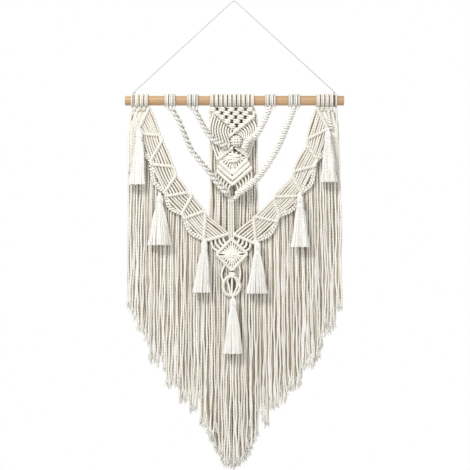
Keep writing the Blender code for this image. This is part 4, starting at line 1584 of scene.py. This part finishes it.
@dataclass
class Strands:
    """Rows of straight cords that hang from a line of roots down to the V of their frayed ends."""

    name: str
    roots: tuple[Place, ...]
    count: int
    y: float
    seed: int
    spread: float = 0.0
    held: tuple[float, float] = (-1.0, 1.0)
    # Painted shade: the curtain behind the panel is darkened down to shaded_to, the row behind has the tone
    # behind_tone, and the roots are darkened by root_shade over root_length.
    shaded_to: float = -0.272
    radius: float = 0.0021
    sway: float = 0.0011
    front_tone: float = 1.05
    behind_tone: float = 0.42
    root_shade: float = 0.3
    tuft_fibres: int = 8
    tuft_length: float = 0.025
    tuft_spread: float = 0.0060
    root_length: float = 0.045
    draw_length: float = 0.032
    even_share: float = 0.65
    middle_width: float = 0.075
    ragged_middle: float = 0.045
    ragged_side: float = 0.022
    worn_length: float = 0.040
    cluster: float = 0.0135
    wave_sizes: tuple[tuple[float, float], ...] = ((0.33, 1.0), (0.14, 0.6), (0.055, 0.3))

    def _line(self, x: float, y: float, step: float, rng: np.random.Generator) -> np.ndarray:
        """One strand's line, from its root to its end, swaying a little more the lower it hangs.

        Args:
            x: The root's X.
            y: Its depth.
            step: The distance between its points.
            rng: Where the small irregularities come from.

        Returns:
            The strand's points.
        """
        reach = max(abs(self.roots[0][0]), abs(self.roots[-1][0]))
        foot_x = x + self.spread * (abs(x) / reach) ** 1.5
        top = height_at(self.roots, x)
        foot = height_at(STRAND_ENDS, foot_x) + self.tuft_length * 0.4
        ragged = self.ragged_middle if abs(foot_x) < self.middle_width else self.ragged_side
        foot += rng.uniform(-0.005, 0.006) if rng.uniform() < self.even_share else rng.uniform(0.006, ragged)
        count = round((top - foot) / step)
        share = np.linspace(0.0, 1.0, count)
        settle = np.minimum(1.0, share * 6.0) * (0.7 + 0.9 * share**2)
        waves = []
        for scale in (1.0, 0.6):
            wave = np.zeros(count)
            for length, size in self.wave_sizes:
                phase = rng.uniform(0.0, 2 * math.pi)
                wave += size * np.sin(share * (top - foot) / length * 2 * math.pi + phase)
            waves.append(wave * self.sway * scale * settle)
        near_root = np.maximum(0.0, 1 - share * (top - foot) / self.draw_length) ** 2
        drawn = (float(np.clip(x, *self.held)) - x) * 0.8 * near_root
        across = x + drawn + (foot_x - x) * share**0.8 + waves[0]
        return np.stack((across, y + waves[1], top + (foot - top) * share), axis=1)

    def _toned(self, line: np.ndarray, tone: float) -> np.ndarray:
        """A strand's tone along its line: painted shade darkens it behind the panel, or else at its root, and
        it is pale in its worn end.

        Args:
            line: The strand's points.
            tone: Its tone in its clean middle part.

        Returns:
            A tone for each point.
        """
        share = np.clip(1 - (line[:, 2] - line[-1, 2]) / self.worn_length, 0.0, 1.0)
        if abs(line[0, 0] - PANEL_X) < PANEL_HALF_WIDTH:
            shade = np.clip((line[:, 2] - self.shaded_to) / 0.02, 0.0, 0.85)
        else:
            shade = self.root_shade * np.clip(1 - (line[0, 2] - line[:, 2]) / self.root_length, 0.0, 1.0)
        return (tone + (1.05 - tone) * share**1.5) * (1 - shade)

    def _tuft(self, skein: Skein, end: np.ndarray, tone: float, rng: np.random.Generator) -> None:
        """The untwisted end of a strand.

        Args:
            skein: Where the cords are laid.
            end: Where the strand ends.
            tone: Its tone.
            rng: Where the small irregularities come from.
        """
        share = np.linspace(0.0, 1.0, 7)[:, None]
        for _ in range(self.tuft_fibres):
            angle = rng.uniform(0.0, 2 * math.pi)
            reach = rng.uniform(0.0, 1.0) ** 1.5 * self.tuft_spread
            bend = rng.uniform(-1, 1)
            length = self.tuft_length * rng.uniform(0.6, 1.0)
            aside = np.array((math.cos(angle), math.sin(angle) * 0.6, 0.0))
            curl = np.sin(share * 6.0 + angle) * share * 0.0022 * bend
            line = end + UP * 0.012 + aside * (reach * share**1.4 + 0.0009) - UP * length * share
            line[:, :1] += curl
            route = Route(line, np.broadcast_to(BEHIND, line.shape))
            skein.lay(route, np.linspace(0.0013, 0.0007, 7), Section.FIBRE, tone, 0.0)

    def build(self) -> bpy.types.Object:
        """Lays the front row, and a row behind its gaps that is painted darker as shade.

        Returns:
            The finished piece.
        """
        skein, rng = Skein(), np.random.default_rng(self.seed)
        pitch = (self.roots[-1][0] - self.roots[0][0]) / self.count
        for index in range(self.count):
            x = self.roots[0][0] + pitch * (index + 0.5) + rng.uniform(-0.0007, 0.0007)
            x += 0.0009 * math.sin(x * 2 * math.pi / self.cluster)
            y = self.y + rng.uniform(-0.0006, 0.0008)
            tone = self.front_tone * rng.uniform(0.78, 1.1)
            line = self._line(x, y, 0.0023, rng)
            radius = self.radius * rng.uniform(0.92, 1.05)
            radii = radius * np.clip((line[:, 2] - line[-1, 2]) / 0.012 + 0.45, 0.0, 1.0)
            skein.lay(Route.hanging(line), radii, tone=self._toned(line, tone), side_shade=0.66)
            self._tuft(skein, line[-1], 1.25, rng)
            if index == self.count - 1:
                break
            behind = self._line(x + pitch / 2, self.y + LAYER_STEP, 0.009, rng)
            shadow_tone = self._toned(behind, self.behind_tone * rng.uniform(0.5, 1.5))
            skein.lay(Route.hanging(behind), self.radius * 1.4, Section.PLAIN, shadow_tone, 0.4)
            self._tuft(skein, behind[-1], 1.1, rng)
        return skein.piece(self.name, CORD_COTTON)


@dataclass
class Tassel:
    """A tassel of combed fibres: a tied loop, a round head, a wound neck and a loose skirt."""

    place: str
    x: float
    y: float
    top_z: float
    length: float
    half_width: float
    seed: int
    lean: float = 0.0
    fibres: int = 170
    half_depth: float = 0.0082
    head_radius: float = 0.0066
    levels: tuple[float, ...] = (0.0035, 0.0060, 0.0110, 0.0180, 0.0225, 0.0275)
    swell: tuple[float, ...] = (0.35, 0.74, 0.94, 0.96, 0.78, 1.0)
    neck_level: int = 4
    falls: tuple[float, ...] = (0.12, 0.3, 0.5, 0.7, 0.86, 1.0)

    def _profile(self, angle: float, share: float, length: float, rng: np.random.Generator) -> np.ndarray:
        """One fibre's line.

        Args:
            angle: Where the fibre lies round the tassel.
            share: How far out it lies, from 0 at the middle to 1.
            length: The tassel's length, down to this fibre's end.
            rng: Where its small waves come from.

        Returns:
            The fibre's points, from the crown of the head to the skirt's hem.
        """
        out_x, out_y = math.cos(angle) * share, math.sin(angle) * share
        points = []
        for down, swell in zip(self.levels, self.swell):
            reach = self.head_radius * swell
            points.append((self.x + out_x * reach, self.y + out_y * reach, self.top_z - down))
        first = self.levels[-1]
        drift = rng.uniform(-0.0012, 0.0012)
        for fall in self.falls:
            ease = fall**0.8
            wide = self.head_radius * 0.98 + (self.half_width - self.head_radius) * ease
            deep = self.head_radius * 0.98 + (self.half_depth - self.head_radius) * ease
            wave = math.sin(fall * 7.0 + angle * 3.0) * 0.0007 + (drift + self.lean) * fall
            z = self.top_z - first - (length - first) * fall
            points.append((self.x + out_x * wide + wave, self.y + out_y * deep, z))
        return np.array(points)

    def build(self) -> bpy.types.Object:
        """Lays the core, the fibres that cover it, the winding at the neck and the tie.

        Returns:
            The finished piece.
        """
        skein, rng = Skein(), np.random.default_rng(self.seed)
        core = self._profile(0.0, 0.0, self.length * 0.97, rng)
        skirt = np.linspace(0.0055, 0.0064, len(self.falls))
        bodies = np.concatenate((np.array(self.swell) * self.head_radius * 0.8, skirt))
        # The core is painted darker towards the head, as the shade inside the tassel.
        skein.lay(Route.hanging(core), bodies, tone=np.linspace(0.6, 1.1, len(core)), side_shade=0.1)
        for index in range(self.fibres):
            angle = 2 * math.pi * (index * GOLDEN_SHARE % 1.0)
            share = 1.0 if index % 3 else rng.uniform(0.55, 0.95)
            fold = 0.5 + 0.5 * math.sin(angle * 4.0 + self.seed)
            lock = 0.5 + 0.5 * math.sin(angle * 7.0 + self.seed * 2.0)
            length = self.length * (0.984 + 0.008 * lock + rng.uniform(-0.003, 0.003))
            line = self._profile(angle, share * (0.90 + 0.10 * fold), length, rng)
            # Painted shade: every fourth fibre is dark, as the shade between locks, and each fibre darkens on
            # the inner side of a fold.
            tone = rng.uniform(0.85, 1.15) if index % 4 else rng.uniform(-0.1, 0.4)
            radii = rng.uniform(0.0010, 0.0015) * np.linspace(1.0, 1.15, len(line))
            skein.lay(Route.hanging(line), radii, Section.FIBRE, tone * (0.82 + 0.18 * fold), 0.2)
        neck_z = self.top_z - self.levels[self.neck_level]
        neck = np.array(((self.x, self.y, neck_z + 0.0026), (self.x, self.y, neck_z - 0.0026)))
        reach = self.head_radius * self.swell[self.neck_level] + 0.0010
        skein.lay(Route.coil(neck, reach, 0.0017, steps=16), 0.0009, tone=0.95, side_shade=0.5)
        tie = np.array(((-0.0012, 0.0075, 0.0015), (-0.0012, 0.0035, -0.0015), (-0.0006, 0.0008, -0.0050)))
        for side in (1.0, -1.0):
            loop = tie * (side, 1.0, 1.0) + (self.x, self.y, self.top_z)
            skein.lay(Route.hanging(smooth(loop, 0.0015)), 0.0010, tone=0.95)
        return skein.piece(f"Tassel_{self.place.title()}", TASSEL_FLOSS)


SINNETS = (
    Sinnet(
        "outer_left",
        Heading(-0.143, -0.120, knotted=False),
        (
            (-0.131, -0.002, -0.2165), (-0.117, -0.003, -0.240), (-0.107, -0.004, -0.261),
            (-0.088, -0.006, -0.305), (-0.057, -0.012, -0.344), (-0.033, FRONT_Y, -0.375),
            (-0.013, FRONT_Y, -0.397),
        ),
        23,
    ),
    Sinnet(
        "outer_right",
        Heading(0.111, 0.136, knotted=False),
        (
            (0.124, -0.002, -0.2165), (0.107, -0.003, -0.260), (0.087, -0.006, -0.305),
            (0.056, -0.012, -0.354), (0.033, FRONT_Y, -0.377), (0.005, FRONT_Y, -0.398),
        ),
        24,
        radius=0.0080,
        lobe_radius=0.0048,
        notch_shade=0.4,
        edge_shade=1.3,
    ),
    Sinnet(
        "inner_left",
        Heading(-0.097, -0.073, knotted=False),
        (
            (-0.084, -0.002, -0.2165), (-0.072, -0.004, -0.240), (-0.055, -0.012, -0.270),
            (-0.039, FRONT_Y, -0.287), (-0.016, FRONT_Y, -0.299),
        ),
        25,
    ),
    Sinnet(
        "inner_right",
        Heading(0.063, 0.086, knotted=False),
        (
            (0.074, -0.002, -0.2165), (0.062, -0.004, -0.246), (0.045, -0.012, -0.276),
            (0.029, FRONT_Y, -0.286), (0.020, FRONT_Y, -0.303),
        ),
        26,
        radius=0.0078,
        lobe_radius=0.0047,
        notch_shade=0.4,
        edge_shade=1.3,
    ),
)
TASSELS = (
    Tassel("left_upper", -0.194, TASSEL_Y, -0.262, 0.116, 0.016, 51, lean=-0.005),
    Tassel("left_middle", -0.152, TASSEL_Y, -0.395, 0.107, 0.023, 52),
    Tassel("left_lower", -0.061, TASSEL_Y, -0.489, 0.110, 0.0175, 53, lean=-0.006),
    Tassel("centre", -0.002, TASSEL_Y, -0.606, 0.118, 0.020, 54),
    Tassel("right_lower", 0.048, TASSEL_Y, -0.492, 0.109, 0.0225, 55, lean=-0.001),
    Tassel("right_middle", 0.136, TASSEL_Y, -0.396, 0.110, 0.019, 56),
    Tassel("right_upper", 0.193, TASSEL_Y, -0.264, 0.109, 0.0165, 57, lean=0.001),
)


def main() -> None:
    """Builds the studio, and then every piece of the hanging in order."""
    logging.basicConfig(level=logging.INFO, format="%(message)s")
    Studio().build()
    string = HangingString()
    curtain_top = ROD_Z - 0.0135
    curtain_roots = ((-0.0515, curtain_top), (0.049, curtain_top))
    left_heading = Heading(-0.212, -0.175, slot_x=string.left_x, pair_draw=0.0006)
    right_heading = Heading(0.168, 0.212, slot_x=string.right_x, pair_draw=0.0006)
    held = (-0.047, 0.039)
    parts = (
        string,
        StringKnot(Side.LEFT, string.left_x),
        StringKnot(Side.RIGHT, string.right_x),
        Rod(),
        Strands("Back_Curtain", curtain_roots, 21, CURTAIN_Y, 11, held=held, root_shade=0.0, behind_tone=0.2),
        Strands("Fringe_Left", LEFT_ROOTS, 40, FRINGE_Y, 12, spread=-0.008, held=(-0.198, 0.0)),
        Strands("Fringe_Right", RIGHT_ROOTS, 40, FRINGE_Y, 13, spread=0.010, held=(0.0, 0.200)),
        SwagBand(Side.LEFT, LEFT_BARS, left_heading, 21),
        SwagBand(Side.RIGHT, RIGHT_BARS, right_heading, 22, chain_x=0.198),
        *SINNETS,
        CentrePanel(),
        Medallion(),
        *TASSELS,
    )
    for part in parts:
        made = part.build()
        LOG.info("%s: %d faces", made.name, len(made.data.polygons))


if __name__ == "__main__":
    main()
